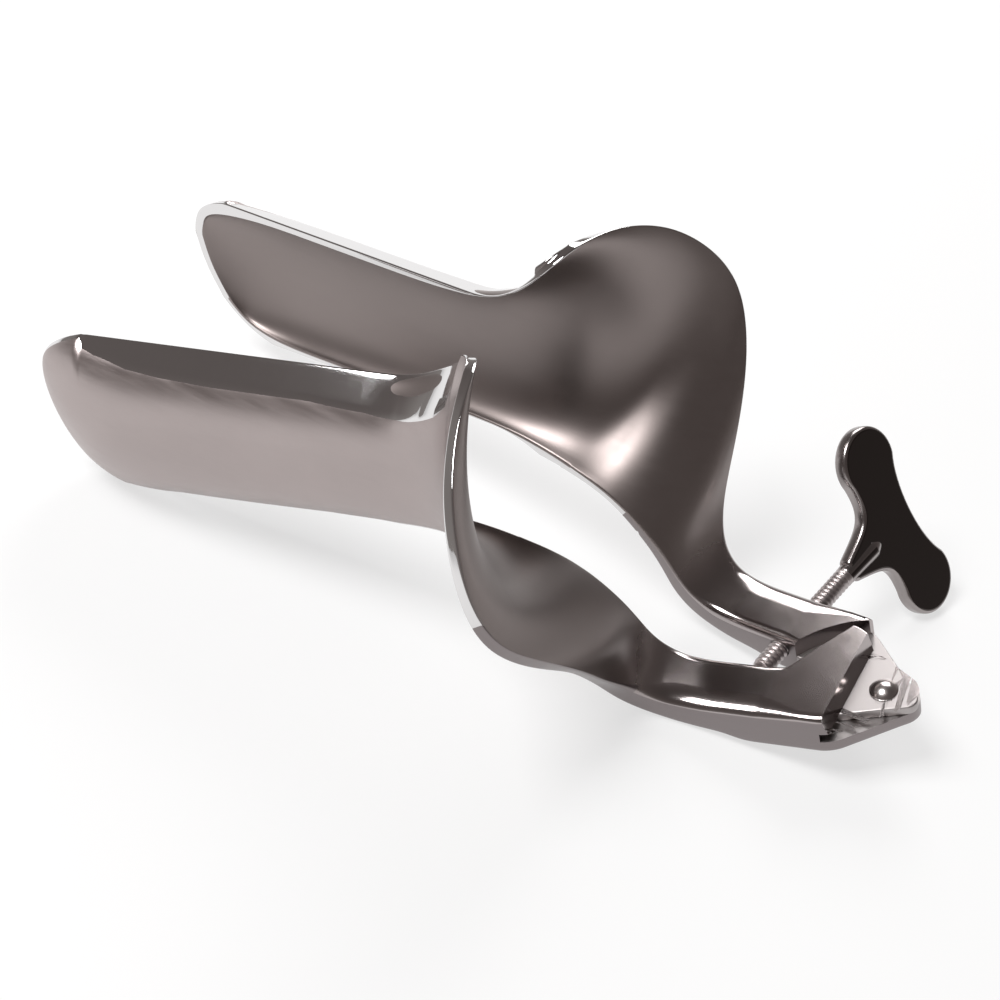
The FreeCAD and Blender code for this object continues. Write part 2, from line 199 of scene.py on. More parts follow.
@dataclass
class ValveForm:
    """Sizes that both valves share, in millimetres and degrees."""

    tip_reach: float = 161.95
    blade_height: float = 35.8
    blade_depth: float = 10.6
    blade_axis_height: float = 55.7
    blade_axis_at: float = 105.0
    blade_rise: float = 0.085
    blade_flare: float = 0.027
    flare_from: float = 100.0
    tip_length: float = 16.0
    tip_fullness: float = 2.55
    tip_widening: float = 0.6
    tip_droop: float = 0.5
    depth_taper: float = 26.0
    depth_powers: tuple[float, float] = (2.2, 0.62)
    wall: float = 2.0
    land_tilt: float = 30.0
    land_stock: float = 2.0
    land_end: float = 63.6
    lower_land_early: float = 5.0
    crease_marks: tuple[tuple[float, float], ...] = (
        (63.4, 0.0), (63.7, 6.3), (64.1, 8.9), (65.0, 10.4), (68.0, 10.3), (73.0, 9.2),
        (77.6, 8.3), (84.4, 7.5), (96.0, 6.85), (117.0, 6.8), (128.0, 6.5), (135.0, 5.9),
        (142.4, 4.1), (147.0, 2.2))
    runout_from: float = 80.0
    runout_to: float = 62.0
    runout_rise: float = 8.9
    runout_most: float = 1.3
    neck_thickness: float = 3.0
    arm_from: float = 46.0
    arm_over: float = 9.0
    arm_finish_from: float = 43.0
    rim_finish_from: float = 52.0
    plain_from: float = 13.0
    plain_over: float = 8.0
    arm_width: float = 12.4
    arm_thickness: float = 6.8
    hinge_thickness: float = 9.1
    cheek_thickness: float = 4.0
    parting: float = 0.075

    @property
    def arm_top(self) -> float:
        """Height of the arms' upper face."""
        return self.cheek_thickness

    @property
    def hinge_bottom(self) -> float:
        """Height of the hinge's lower face."""
        return self.cheek_thickness - self.hinge_thickness

    def axis_height(self, reach: np.ndarray) -> np.ndarray:
        """Height of the blade's centre line."""
        return self.blade_axis_height + self.blade_rise * (reach - self.blade_axis_at)

    def half_height(self, reach: np.ndarray) -> np.ndarray:
        """Half of the blade's height at its lands."""
        return self.blade_height / 2 + self.blade_flare * (reach - self.flare_from)

    def depth_at(self, reach: float) -> float:
        """Depth of the blade, which runs out towards the tip."""
        into = min(1.0, max(0.0, (reach - self.tip_reach + self.depth_taper) / self.depth_taper))
        inner, outer = self.depth_powers
        return self.blade_depth * (1.0 - into ** inner) ** outer

    def tip_station(self, turn: float, lead: float | None, stock: float) -> Station:
        """A section at one angle of the rounded end's superellipse outline.

        Args:
            turn: Angle on the outline in degrees, 0 at the tip.
            lead: How far the crown is ahead of the rims, or None at the flat tip.
            stock: Metal left on the rims for grinding.

        Returns:
            The section.
        """
        power = 2 / self.tip_fullness
        reach = self.tip_reach - self.tip_length * (1 - math.cos(math.radians(turn)) ** power)
        half = (self.blade_height / 2 + self.tip_widening) * math.sin(math.radians(turn)) ** power
        half += stock
        middle = self.axis_height(reach) - self.tip_droop
        crown = self.tip_reach if lead is None else reach + lead
        depth = 0.0 if lead is None else self.depth_at(crown)
        return Station((reach, 0, middle - half), (reach, 0, middle + half),
                       (crown, depth, middle), 0.0 if lead is None else 1.0,
                       self.wall, 0.0, (stock, stock))

    def blade_station(self, reach: float) -> Station:
        """A section of the straight blade, with stock for its lands.

        Args:
            reach: Reach of the section.

        Returns:
            The section.
        """
        half = self.half_height(reach) + self.land_stock
        middle = self.axis_height(reach)
        return Station((reach, 0, middle - half), (reach, 0, middle + half),
                       (reach, self.blade_depth, middle), 1.0, self.wall, 0.0,
                       (self.land_stock, self.land_stock))

    def arm_station(self, reach: float, thickness: float) -> Station:
        """A section of the plain arm."""
        return Station((reach, 0, self.arm_top), (reach, self.arm_width, self.arm_top),
                       (reach, self.arm_width / 2, self.arm_top), 0.0, 0.0, thickness)

    def stations(self) -> list[Station]:
        """List all sections of a valve's sheet.

        Returns:
            Sections from the blade's tip to the arm.
        """
        w = self.wall
        rows = [self.tip_station(24.0, None, 0.0), self.tip_station(42.0, 1.9, 0.0),
                self.tip_station(62.0, 0.9, 0.3), self.tip_station(90.0, 0.0, 1.4)]
        rows += [self.blade_station(reach) for reach in (134.0, 120.0, 105.0, 92.0)]
        rows += [
            Station((80, 0, 34.0), (80, 0, 73.6), (79.5, 10.8, 54), 1.0, w, 0, (1.6, 2)),
            Station((73, 0, 32.6), (72.5, 0, 74.2), (73.5, 12.4, 54), 1.0, w, 0, (1.0, 1)),
            Station((68, 0, 31.2), (66.5, 0.3, 76.0), (67.5, 16.0, 54), 0.95, w, 0, (0.5, 0.4)),
            Station((64.5, 0, 30.0), (61.0, 3.5, 80.0), (62.3, 21.5, 53.0), 0.8, w, 0),
            Station((62, 0, 28.8), (59.8, 10.0, 79.8), (59.0, 26.0, 52.0), 0.7, w, 0),
            Station((60, 0, 27.6), (59.6, 20.6, 76.0), (56.6, 29.0, 50.0), 0.55, w, 0),
            Station((58, 0, 26.3), (57.6, 32.5, 69.8), (54.5, 30.5, 46.5), 0.4, w, 0),
            Station((56, 0, 24.6), (54.5, 41.4, 58.8), (52.3, 29.0, 41.0), 0.3, w, 0.1),
            Station((53.8, 0, 22.5), (50.9, 43.5, 48.5), (50.3, 26.0, 35.0), 0.2, w, 0.2),
            Station((51, 0, 19.3), (46.5, 36.0, 38.0), (47.6, 19.5, 27.0), 0.1, 1.8, 0.6),
            Station((48.4, 0, 15.8), (45.8, 27.5, 28.0), (46.2, 14.0, 20.5), 0.0, 1.6, 1.1),
            Station((46, 0, 11.8), (45.9, 21.5, 19.0), (45.8, 11.0, 15.0), 0.0, 1.2, 1.8),
            Station((44, 0, 8.6), (45.0, 17.6, 13.4), (44.3, 9.2, 10.7), 0.0, 0.8,
                    self.neck_thickness),
            Station((41.2, 0, 6.2), (42.8, 14.4, 8.3), (42.0, 7.5, 6.9), 0.0, 0.4, 4.5),
            Station((37, 0, 4.6), (38.5, 12.6, 5.2), (37.8, 6.5, 4.8), 0.0, 0.1, 5.9),
        ]
        thick, thin = self.hinge_thickness, self.arm_thickness
        arm = ((32.0, thin), (28.0, thin + 0.6), (24.5, thick), (21.0, thick), (17.5, thick),
               (14.0, thick))
        return rows + [self.arm_station(reach, thickness) for reach, thickness in arm]

    def land_height(self, reach: np.ndarray, side: np.ndarray) -> np.ndarray:
        """Height of the upper ground land's plane."""
        plane = self.axis_height(reach) + self.half_height(reach)
        return plane - side * math.tan(math.radians(self.land_tilt))

    def land_rim(self, reach: float, full: float) -> float:
        """Height of the ground rim, which the grinder leaves rising to the bell's horn.

        Args:
            reach: Reach of the rim.
            full: Height of the rim before grinding.

        Returns:
            The height of the land's end on the rim.
        """
        into = (self.runout_from - reach) / (self.runout_from - self.runout_to)
        rise = self.runout_rise * min(max(into, 0.0), self.runout_most) ** 2
        return min(full, float(self.land_height(reach, 0.0)) + rise)

    def crease_limit(self, reach: np.ndarray) -> np.ndarray:
        """How far out the land may reach, which ends it in a round scoop at the bell."""
        return np.interp(reach, *zip(*self.crease_marks))


def unit(v: np.ndarray) -> np.ndarray:
    """A vector's direction."""
    return v / np.linalg.norm(v)


class SheetNet:
    """The poles of a valve's convex and concave faces."""

    def __init__(self, stations: Sequence[Station]) -> None:
        """Offset the sections into two nets.

        Args:
            stations: Sections from the tip to the arm.
        """
        self.stations = stations
        self.net = np.array([station.poles() for station in stations])
        count = len(stations)
        self.convex = np.array([self._offset(i, False) for i in range(count)])
        self.concave = np.array([self._offset(i, True) for i in range(count)])

    def _outward(self, i: int, k: int) -> np.ndarray:
        """The sheet's outward direction at one pole, kept in the parting plane on its edge.

        Args:
            i: Number of the section.
            k: Number of the pole in it.

        Returns:
            A direction.
        """
        rows, last = self.net.shape[0], self.net.shape[1] - 1
        along = self.net[min(i + 1, rows - 1)][k] - self.net[max(i - 1, 0)][k]
        across = self.net[i][min(k + 1, last)] - self.net[i][max(k - 1, 0)]
        if i == 0:
            return unit(np.array([across[2], 0, -across[0]]))
        if k == 0:
            return unit(np.array([-along[2], 0, along[0]]))
        normal = np.cross(along, across)
        if k == last:
            share = min(1.0, self.net[i][k][1] / 6.0)
            flat = unit(np.array([along[2], 0, -along[0]]))
            solid = unit(normal) if share > 0 else flat
            return unit(flat + share * (solid - flat))
        return unit(normal)

    def _offset(self, i: int, inside: bool) -> np.ndarray:
        """Move one section's poles on to a face of the sheet.

        Args:
            i: Number of the section.
            inside: Whether the face is the concave one.

        Returns:
            The moved poles.
        """
        station = self.stations[i]
        low, high = station.stock
        extra = (low, low, 0.35 * low, 0, 0.35 * high, high, high)
        poles = []
        for k in range(ACROSS_POLES):
            move = -(station.inside + extra[k]) if inside else station.outside
            poles.append(self.net[i][k] + move * self._outward(i, k))
        return np.array(poles)

    def faces(self, along: np.ndarray, across: np.ndarray) -> tuple[np.ndarray, np.ndarray]:
        """Points of the convex and the concave face.

        Args:
            along: Places from the tip to the arm, from 0 to 1.
            across: Places from the parting edge to the outer edge, from 0 to 1.

        Returns:
            Two grids of points.
        """
        rows = clamped_basis(len(self.stations), DEGREE, along)
        columns = clamped_basis(ACROSS_POLES, DEGREE, across)
        return tuple(np.einsum("ui,ikc,vk->uvc", rows, net, columns)
                     for net in (self.convex, self.concave))


def lengths(path: np.ndarray) -> np.ndarray:
    """Distance along a path at each of its points."""
    return np.concatenate([[0.0], np.cumsum(np.linalg.norm(np.diff(path, axis=0), axis=1))])


def cut_path(path: np.ndarray, start: float, end: float, count: int) -> np.ndarray:
    """Evenly spaced points of a path between two distances along it.

    Args:
        path: Points of the path.
        start: Distance of the first point.
        end: Distance of the last point.
        count: How many points are made.

    Returns:
        The new points.
    """
    run = lengths(path)
    at = np.linspace(start, end, count)
    return np.stack([np.interp(at, run, path[:, c]) for c in range(3)], axis=1)


@dataclass
class RingPlan:
    """How many points a ring has on each side and corner, and how far apart the rings are."""

    land: int = 7
    web: int = 40
    rim: int = 4
    corner: int = 5
    along: int = 3000
    across: int = 161
    spacing_marks: tuple[tuple[float, float], ...] = (
        (0.0, 0.7), (45.0, 0.8), (58.0, 0.8), (61.0, 0.3), (72.0, 0.3), (78.0, 0.6),
        (82.0, 1.5), (135.0, 2.0), (146.0, 0.7), (170.0, 0.45))
    far_step: float = 0.5
    far_end: float = 7.0
    near_step: float = 0.4
    nose_rings: int = 10
    nose_margin: float = 0.06

    def sides(self) -> tuple[int, ...]:
        """Points on each side: low land, web, high land, high rim, concave, low rim."""
        concave = self.web + 2 * self.land + 2 * self.corner
        return (self.land, self.web, self.land, self.rim, concave, self.rim)

    def total(self) -> int:
        """Points in a whole ring."""
        return sum(self.sides()) + 6 * self.corner


def rounded_ring(sides: Sequence[np.ndarray], radii: Sequence[tuple[float, float]],
                 plan: RingPlan) -> np.ndarray:
    """A closed section of six sides with rounded corners.

    Args:
        sides: Paths, each from the last one's end.
        radii: Rounding before and after the end of each side.
        plan: The numbers of points.

    Returns:
        The ring's points.
    """
    spans = [lengths(side)[-1] for side in sides]
    most = [MOST_TRIM * span for span in spans]
    trims = [(min(radii[i][0], most[i]), min(radii[i][1], most[(i + 1) % 6])) for i in range(6)]
    ring = []
    for i, side in enumerate(sides):
        start, end = trims[i - 1][1], spans[i] - trims[i][0]
        ring.append(cut_path(side, start, end, plan.sides()[i]))
        after = sides[(i + 1) % 6]
        a = cut_path(side, end, end, 1)[0]
        b = cut_path(after, trims[i][1], trims[i][1], 1)[0]
        corner = after[0]
        t = np.linspace(0.0, 1.0, plan.corner + 2)[1:-1, None]
        ring.append((1 - t) ** 2 * a + 2 * t * (1 - t) * corner + t ** 2 * b)
    return np.concatenate(ring)


@dataclass
class Edges:
    """How round a valve's long edges are and how its webs meet its lands, in millimetres."""

    crease: float = 0.9
    blade_rim: float = 0.65
    bell_rim: float = 0.45
    inner_top: tuple[float, float] = (1.8, 1.8)
    outer_top: tuple[float, float] = (2.2, 4.6)
    cheek_top: tuple[float, float] = (0.4, 0.4)
    block_top: tuple[float, float] = (1.4, 1.8)
    arm_bottom: float = 1.3
    strip: float = 0.7
    arm_strip: float = 2.6
    arm_strip_share: float = 0.3
    meet_fall: float = 0.83
    meet_from: float = 72.0
    meet_over: float = 10.0
    meet_width: float = 10.0
    meet_most: float = 1.2
    meet_points: int = 12

    def corners(self, arm: float, rim: float, plain: float) -> list[tuple[float, float]]:
        """Roundings of a section's six corners, each before and after its corner.

        Args:
            arm: 0 on the blade and bell, 1 on the arm.
            rim: Rounding of the rims there.
            plain: 0 at the hinge's cheeks, 1 from the plain arm on.

        Returns:
            Pairs, in the order of the section's sides.
        """
        def blend(end: tuple[float, float], hinge: tuple[float, float]) -> tuple[float, float]:
            """One pair, blended from the rim's rounding to the arm's or the hinge's."""
            target = [h + plain * (e - h) for e, h in zip(end, hinge)]
            return tuple(rim + arm * (v - rim) for v in target)
        low = rim + arm * (self.arm_bottom - rim)
        return [(self.crease, self.crease), (self.crease, self.crease), (low, low),
                blend(self.outer_top, self.block_top), blend(self.inner_top, self.cheek_top)[::-1],
                (low, low)]


class ValveSheet:
    """Blade, bell, neck and arm as rings of points from the tip to the hinge."""

    def __init__(self, form: ValveForm, edges: Edges, plan: RingPlan) -> None:
        """Keep the sizes.

        Args:
            form: Sizes of the valve.
            edges: Roundings of its edges.
            plan: Numbers of points.
        """
        self.form, self.edges, self.plan = form, edges, plan

    def _crease(self, outer: np.ndarray, strip: float, early: float) -> float:
        """Find where a land starts on a section.

        Args:
            outer: Points of the section's convex face.
            strip: Narrowest land that is left.
            early: How much nearer to the blade this land ends.

        Returns:
            The distance along the section.
        """
        form = self.form
        run = lengths(outer)
        beyond = outer[:, 2] - form.land_height(outer[:, 0], outer[:, 1])
        inside = form.crease_limit(outer[:, 0] - early) - outer[:, 1]
        crossing = 0.0
        for measure in (beyond, inside):
            half = len(outer) // 2
            free = np.nonzero(measure[half:] <= 0)[0]
            j = half + (free[-1] if len(free) else 0)
            if j + 1 >= len(outer):
                return run[-1] - strip
            share = measure[j] / (measure[j] - measure[j + 1]) if len(free) else 0.0
            crossing = max(crossing, run[j] + share * (run[j + 1] - run[j]))
        return min(crossing, run[-1] - strip)

    def _ground(self, outer: np.ndarray, strip: float, early: float) -> np.ndarray:
        """Grind a section's upper land.

        Args:
            outer: Points of the section's convex face.
            strip: Narrowest land that is left.
            early: How much nearer to the blade this land ends.

        Returns:
            The ground section.
        """
        run, start = lengths(outer), self._crease(outer, strip, early)
        last = outer[-1].copy()
        last[2] = self.form.land_rim(float(last[0]) - early, float(last[2]))
        if last[2] == outer[-1, 2]:
            return outer
        first = np.array([np.interp(start, run, outer[:, c]) for c in range(3)])
        share = np.clip((run - start) / (run[-1] - start), 0.0, 1.0)[:, None]
        return np.where(share > 0, first + share * (last - first), outer)

    def _flip(self, path: np.ndarray) -> np.ndarray:
        """Mirror a path about the blade's axis and reverse it.

        Args:
            path: Points of the path.

        Returns:
            The mirrored points.
        """
        flipped = path[::-1].copy()
        flipped[:, 2] = 2 * self.form.axis_height(flipped[:, 0]) - flipped[:, 2]
        return flipped

    def _meet(self, web: np.ndarray, land: np.ndarray) -> tuple[np.ndarray, np.ndarray]:
        """Draw a web's upper end in to the land's plane, so that the land stays flat.

        Args:
            web: Points of the web, the last one on the crease.
            land: Points of the land, the first one on the crease.

        Returns:
            The eased web and land.
        """
        form, edges, crease = self.form, self.edges, web[-1]
        fall = edges.meet_fall
        above = crease[2] - float(form.land_height(crease[0], crease[1]))
        slope = fall + math.tan(math.radians(form.land_tilt))
        pull = min(max(above / slope, 0.0), edges.meet_most)
        pull *= min(max((crease[0] - edges.meet_from) / edges.meet_over, 0.0), 1.0)
        if pull == 0.0:
            return web, land
        web = web.copy()
        run = lengths(web)
        share = np.clip(1 - (run[-1] - run) / edges.meet_width, 0.0, 1.0) ** 2
        web[:, 1] -= pull * share
        web[:, 2] -= fall * pull * share
        along = np.linspace(0.0, 1.0, edges.meet_points)[:, None]
        return web, web[-1] + along * (land[-1] - web[-1])

    def ring(self, outer: np.ndarray, inner: np.ndarray, arm: float) -> np.ndarray:
        """One section's ring.

        Args:
            outer: Points of the convex face from the parting edge to the outer edge.
            inner: Points of the concave face, the same way.
            arm: 0 on the blade and bell, 1 on the arm.

        Returns:
            The ring's points.
        """
        edges, blade = self.edges, outer[-1, 0] > self.form.land_end
        strip = edges.strip + arm * (edges.arm_strip - edges.strip)
        early = self.form.lower_land_early * (outer[-1, 0] < self.form.flare_from)
        high = self._crease(outer, strip, 0.0)
        mirrored = self._flip(outer)
        total = lengths(outer)[-1]
        low = total - self._crease(mirrored, strip, early)
        ground = self._ground(outer, strip, 0.0)
        ground = self._flip(self._ground(self._flip(ground), strip, early))
        if arm > 0.0:
            ground = outer
        run = lengths(outer)

        def piece(a: float, b: float, path: np.ndarray) -> np.ndarray:
            """The part of a path between two distances along the section."""
            at = np.concatenate([[a], run[(run > a + 1e-6) & (run < b - 1e-6)], [b]])
            return np.stack([np.interp(at, run, path[:, c]) for c in range(3)], axis=1)
        low_land, web, high_land = (piece(0.0, low, ground), piece(low, high, outer),
                                    piece(high, total, ground))
        low_land[-1], high_land[0] = web[0], web[-1]
        web, high_land = self._meet(web, high_land)
        web, low_land = (self._flip(path) for path in
                         self._meet(self._flip(web), self._flip(low_land)))
        back = inner[::-1]
        sides = [low_land, web, high_land, np.array([high_land[-1], back[0]]), back,
                 np.array([back[-1], low_land[0]])]
        rim = edges.blade_rim if blade else edges.bell_rim
        return rounded_ring(sides, edges.corners(arm, rim, 1.0), self.plan)


def ring_faces(rows: int, points: int, closed: bool) -> list[tuple[int, ...]]:
    """Quads between rows of points.

    Args:
        rows: How many rows there are.
        points: Points in each row.
        closed: Whether each row joins its own ends.

    Returns:
        Faces as tuples of point numbers.
    """
    faces = []
    for i in range(rows - 1):
        for k in range(points if closed else points - 1):
            n = (k + 1) % points
            faces.append((i * points + k, i * points + n,
                          (i + 1) * points + n, (i + 1) * points + k))
    return faces


def make_object(name: str, points: np.ndarray, faces: Sequence[Sequence[int]],
                slots: Sequence[int] | None = None) -> bpy.types.Object:
    """A mesh object in the scene, with its faces turned outwards.

    Args:
        name: The object's name.
        points: Points in the frame, in metres.
        faces: Faces as point numbers.
        slots: A material slot for each face.

    Returns:
        The new object.
    """
    mesh = bpy.data.meshes.new(name)
    mesh.from_pydata([tuple(p) for p in points], [], [tuple(f) for f in faces])
    if slots is not None:
        mesh.polygons.foreach_set("material_index", np.array(slots, np.int32))
    piece = bpy.data.objects.new(name, mesh)
    bpy.context.scene.collection.objects.link(piece)
    orient(piece)
    return piece


def orient(piece: bpy.types.Object) -> None:
    """Turn a closed mesh's faces outwards.

    Args:
        piece: The piece, whose mesh is changed.
    """
    work = bmesh.new()
    work.from_mesh(piece.data)
    bmesh.ops.recalc_face_normals(work, faces=work.faces)
    work.to_mesh(piece.data)
    work.free()


def placed(points: np.ndarray, matrix: Matrix) -> np.ndarray:
    """Points moved by a matrix."""
    m = np.array(matrix)
    return points @ m[:3, :3].T + m[:3, 3]


def spanned(name: str, points: Sequence[tuple[float, float, float]], placing: Matrix,
            finish: Finish | None = None) -> bpy.types.Object:
    """A solid between two flat outlines that have the same number of points.

    Args:
        name: The object's name.
        points: The points of one outline and then of the other.
        placing: The matrix from the points' axes to the frame.
        finish: The finish of its faces, or None for the first slot.

    Returns:
        The new object.
    """
    count = len(points) // 2
    faces = [tuple(range(count)), tuple(range(count, 2 * count))]
    faces += [(k, (k + 1) % count, count + (k + 1) % count, count + k) for k in range(count)]
    slots = None if finish is None else [finish.value] * len(faces)
    return make_object(name, placed(np.array(points), placing), faces, slots)


def prism(name: str, outline: Sequence[tuple[float, float]], low: float, high: float,
          placing: Matrix, finish: Finish) -> bpy.types.Object:
    """A plate with an outline in its first two axes, between two heights.

    Args:
        name: The object's name.
        outline: Points of the outline.
        low: Lower height.
        high: Upper height.
        placing: The matrix from the outline's axes to the frame.
        finish: The finish of its faces.

    Returns:
        The new object.
    """
    points = [(r, s, z) for z in (low, high) for r, s in outline]
    return spanned(name, points, placing, finish)


def evaluated(piece: bpy.types.Object) -> bpy.types.Object:
    """Give a piece the plain mesh that its modifiers make.

    Args:
        piece: The piece, whose modifiers are removed.

    Returns:
        The same piece.
    """
    graph = bpy.context.evaluated_depsgraph_get()
    mesh = bpy.data.meshes.new_from_object(piece.evaluated_get(graph))
    piece.modifiers.clear()
    piece.data = mesh
    return piece


def combine(piece: bpy.types.Object, other: bpy.types.Object, operation: str) -> bpy.types.Object:
    """Cut a piece with another or join them, and remove the other.

    Args:
        piece: The piece that stays.
        other: The piece that is used up.
        operation: DIFFERENCE or UNION.

    Returns:
        The piece that stays.
    """
    step = piece.modifiers.new(operation.lower(), "BOOLEAN")
    step.operation, step.object, step.solver = operation, other, "EXACT"
    bpy.context.view_layer.update()
    evaluated(piece)
    bpy.data.objects.remove(other)
    return piece


def round_edges(piece: bpy.types.Object, width: float, segments: int, angle: float) -> None:
    """Round a piece's sharp edges.

    Args:
        piece: The piece.
        width: Width of the rounding in millimetres.
        segments: How many faces the rounding has across.
        angle: Smallest angle in degrees of an edge that is rounded.
    """
    step = piece.modifiers.new("edges", "BEVEL")
    step.width, step.segments = width * MM, segments
    step.limit_method, step.angle_limit = "ANGLE", math.radians(angle)
    evaluated(piece)


def shade(piece: bpy.types.Object, up: Vector, angle: float = 32.0) -> None:
    """Smooth shading, broken at sharp edges and on level and many-sided faces.

    Args:
        piece: The piece.
        up: The direction that level faces look in or away from.
        angle: Smallest angle in degrees of a sharp edge.
    """
    mesh = piece.data
    mesh.shade_smooth()
    mesh.set_sharp_from_angle(angle=math.radians(angle))
    for face in mesh.polygons:
        face.use_smooth = len(face.vertices) <= 4 and abs(face.normal.dot(up)) < LEVEL


def arc(centre: tuple[float, float], radius: float, start: float, end: float,
        count: int) -> list[tuple[float, float]]:
    """Points of an arc.

    Args:
        centre: The arc's centre.
        radius: The arc's radius.
        start: First angle in degrees, from the first axis.
        end: Last angle in degrees.
        count: How many points are made.

    Returns:
        The points.
    """
    turns = np.radians(np.linspace(start, end, count))
    return [(centre[0] + radius * math.cos(t), centre[1] + radius * math.sin(t)) for t in turns]


def circle(radius: float) -> list[tuple[float, float]]:
    """Points of a whole circle about the origin."""
    return arc((0.0, 0.0), radius, 0.0, 360.0 - 360.0 / CIRCLE_POINTS, CIRCLE_POINTS)


@dataclass
class Taper:
    """One outline of the hinge end: straight sides that taper to a round nose."""

    nose: float
    side: float
    width: float
    half_angle: float = 36.0
    corner_radius: float = 8.0

    def __post_init__(self) -> None:
        """Find the nose's arc and the rounded shoulder."""
        turn = math.radians(self.half_angle)
        self.slope = math.tan(turn)
        self.radius = ((self.side - self.slope * self.nose) * math.cos(turn)
                       / (1 - math.sin(turn)))
        self.centre = self.radius - self.nose
        self.start = self.centre - self.radius * math.sin(turn)
        ease = self.corner_radius * math.tan(turn / 2)
        self.corner = (self.width - self.side) / self.slope + ease
        self.corner_end = self.corner - ease * (1 + math.cos(turn))

    def at(self, reach: float) -> float:
        """Find how far out the outline lies.

        Args:
            reach: The reach to look at.

        Returns:
            The side at that reach.
        """
        if reach < self.start:
            return math.sqrt(max(0.0, self.radius ** 2 - (reach - self.centre) ** 2))
        if reach < self.corner_end:
            return self.side + self.slope * reach
        if reach < self.corner:
            fall = self.corner_radius ** 2 - (self.corner - reach) ** 2
            return self.width - self.corner_radius + math.sqrt(fall)
        return self.width


@dataclass
class HingeForm:
    """Sizes of the lapped hinge end, in millimetres and degrees."""

    width: float = 12.4
    tongue_thickness: float = 2.0
    tongue_radius: float = 15.2
    tongue_clearance: float = 0.3
    tongue_inset: float = 0.03
    lap_clearance: float = 0.05
    cheek_end_reach: float = 17.6
    cheek_end_turn: float = 50.0
    cheek_end_ease: float = 0.35
    shoulder: tuple[tuple[float, float], ...] = ((18.6, 0.0), (14.75, 6.45), (8.9, 11.35))
    cheek_face_reach: float = 5.4
    cheek_face_lean: float = 1.05
    cheek_face_turn: float = 10.5
    rivet_radius: float = 1.6
    foot_radius: float = 2.4
    foot_depth: float = 0.8
    bore_clearance: float = 0.04
    bore_below: float = 1.0
    bore_top: float = 6.0
    tongue_root: float = 23.0
    tongue_lap: float = 1.0
    tongue_edge: float = 0.25
    tongue_end_turn: float = 0.3
    shoulder_lead: float = 4.0
    cutter_reach: float = 40.0
    cutter_height: float = 20.0

    @property
    def block(self) -> Taper:
        """Outline of the bars and cheeks."""
        return Taper(6.4, 6.9, self.width)

    @property
    def tongue(self) -> Taper:
        """Outline of the tongue."""
        return Taper(6.6, 5.9, self.width - self.tongue_inset)

    def cheek_low(self, reach: float, parting: float) -> float:
        """The near half's inner boundary, which crosses over beyond the cheek's slanted end.

        Args:
            reach: The reach to look at.
            parting: Side of the parting face.

        Returns:
            The side of the boundary.
        """
        ease = self.cheek_end_ease
        run = ease * math.log1p(math.exp((self.cheek_end_reach - reach) / ease))
        return parting - math.tan(math.radians(self.cheek_end_turn)) * run


def arc_through(a: Sequence[float], b: Sequence[float], c: Sequence[float],
                count: int) -> list[tuple[float, float]]:
    """Points of the arc through three points.

    Args:
        a: Where the arc starts.
        b: A point that it passes.
        c: Where it ends.
        count: How many points are made.

    Returns:
        The points.
    """
    m = np.array([[b[0] - a[0], b[1] - a[1]], [c[0] - b[0], c[1] - b[1]]]) * 2
    k = np.array([b[0] ** 2 - a[0] ** 2 + b[1] ** 2 - a[1] ** 2,
                  c[0] ** 2 - b[0] ** 2 + c[1] ** 2 - b[1] ** 2])
    centre = np.linalg.solve(m, k)
    turns = [math.degrees(math.atan2(q[1] - centre[1], q[0] - centre[0])) for q in (a, c)]
    radius = math.hypot(a[0] - centre[0], a[1] - centre[1])
    return arc(tuple(centre), radius, turns[0], turns[1], count)


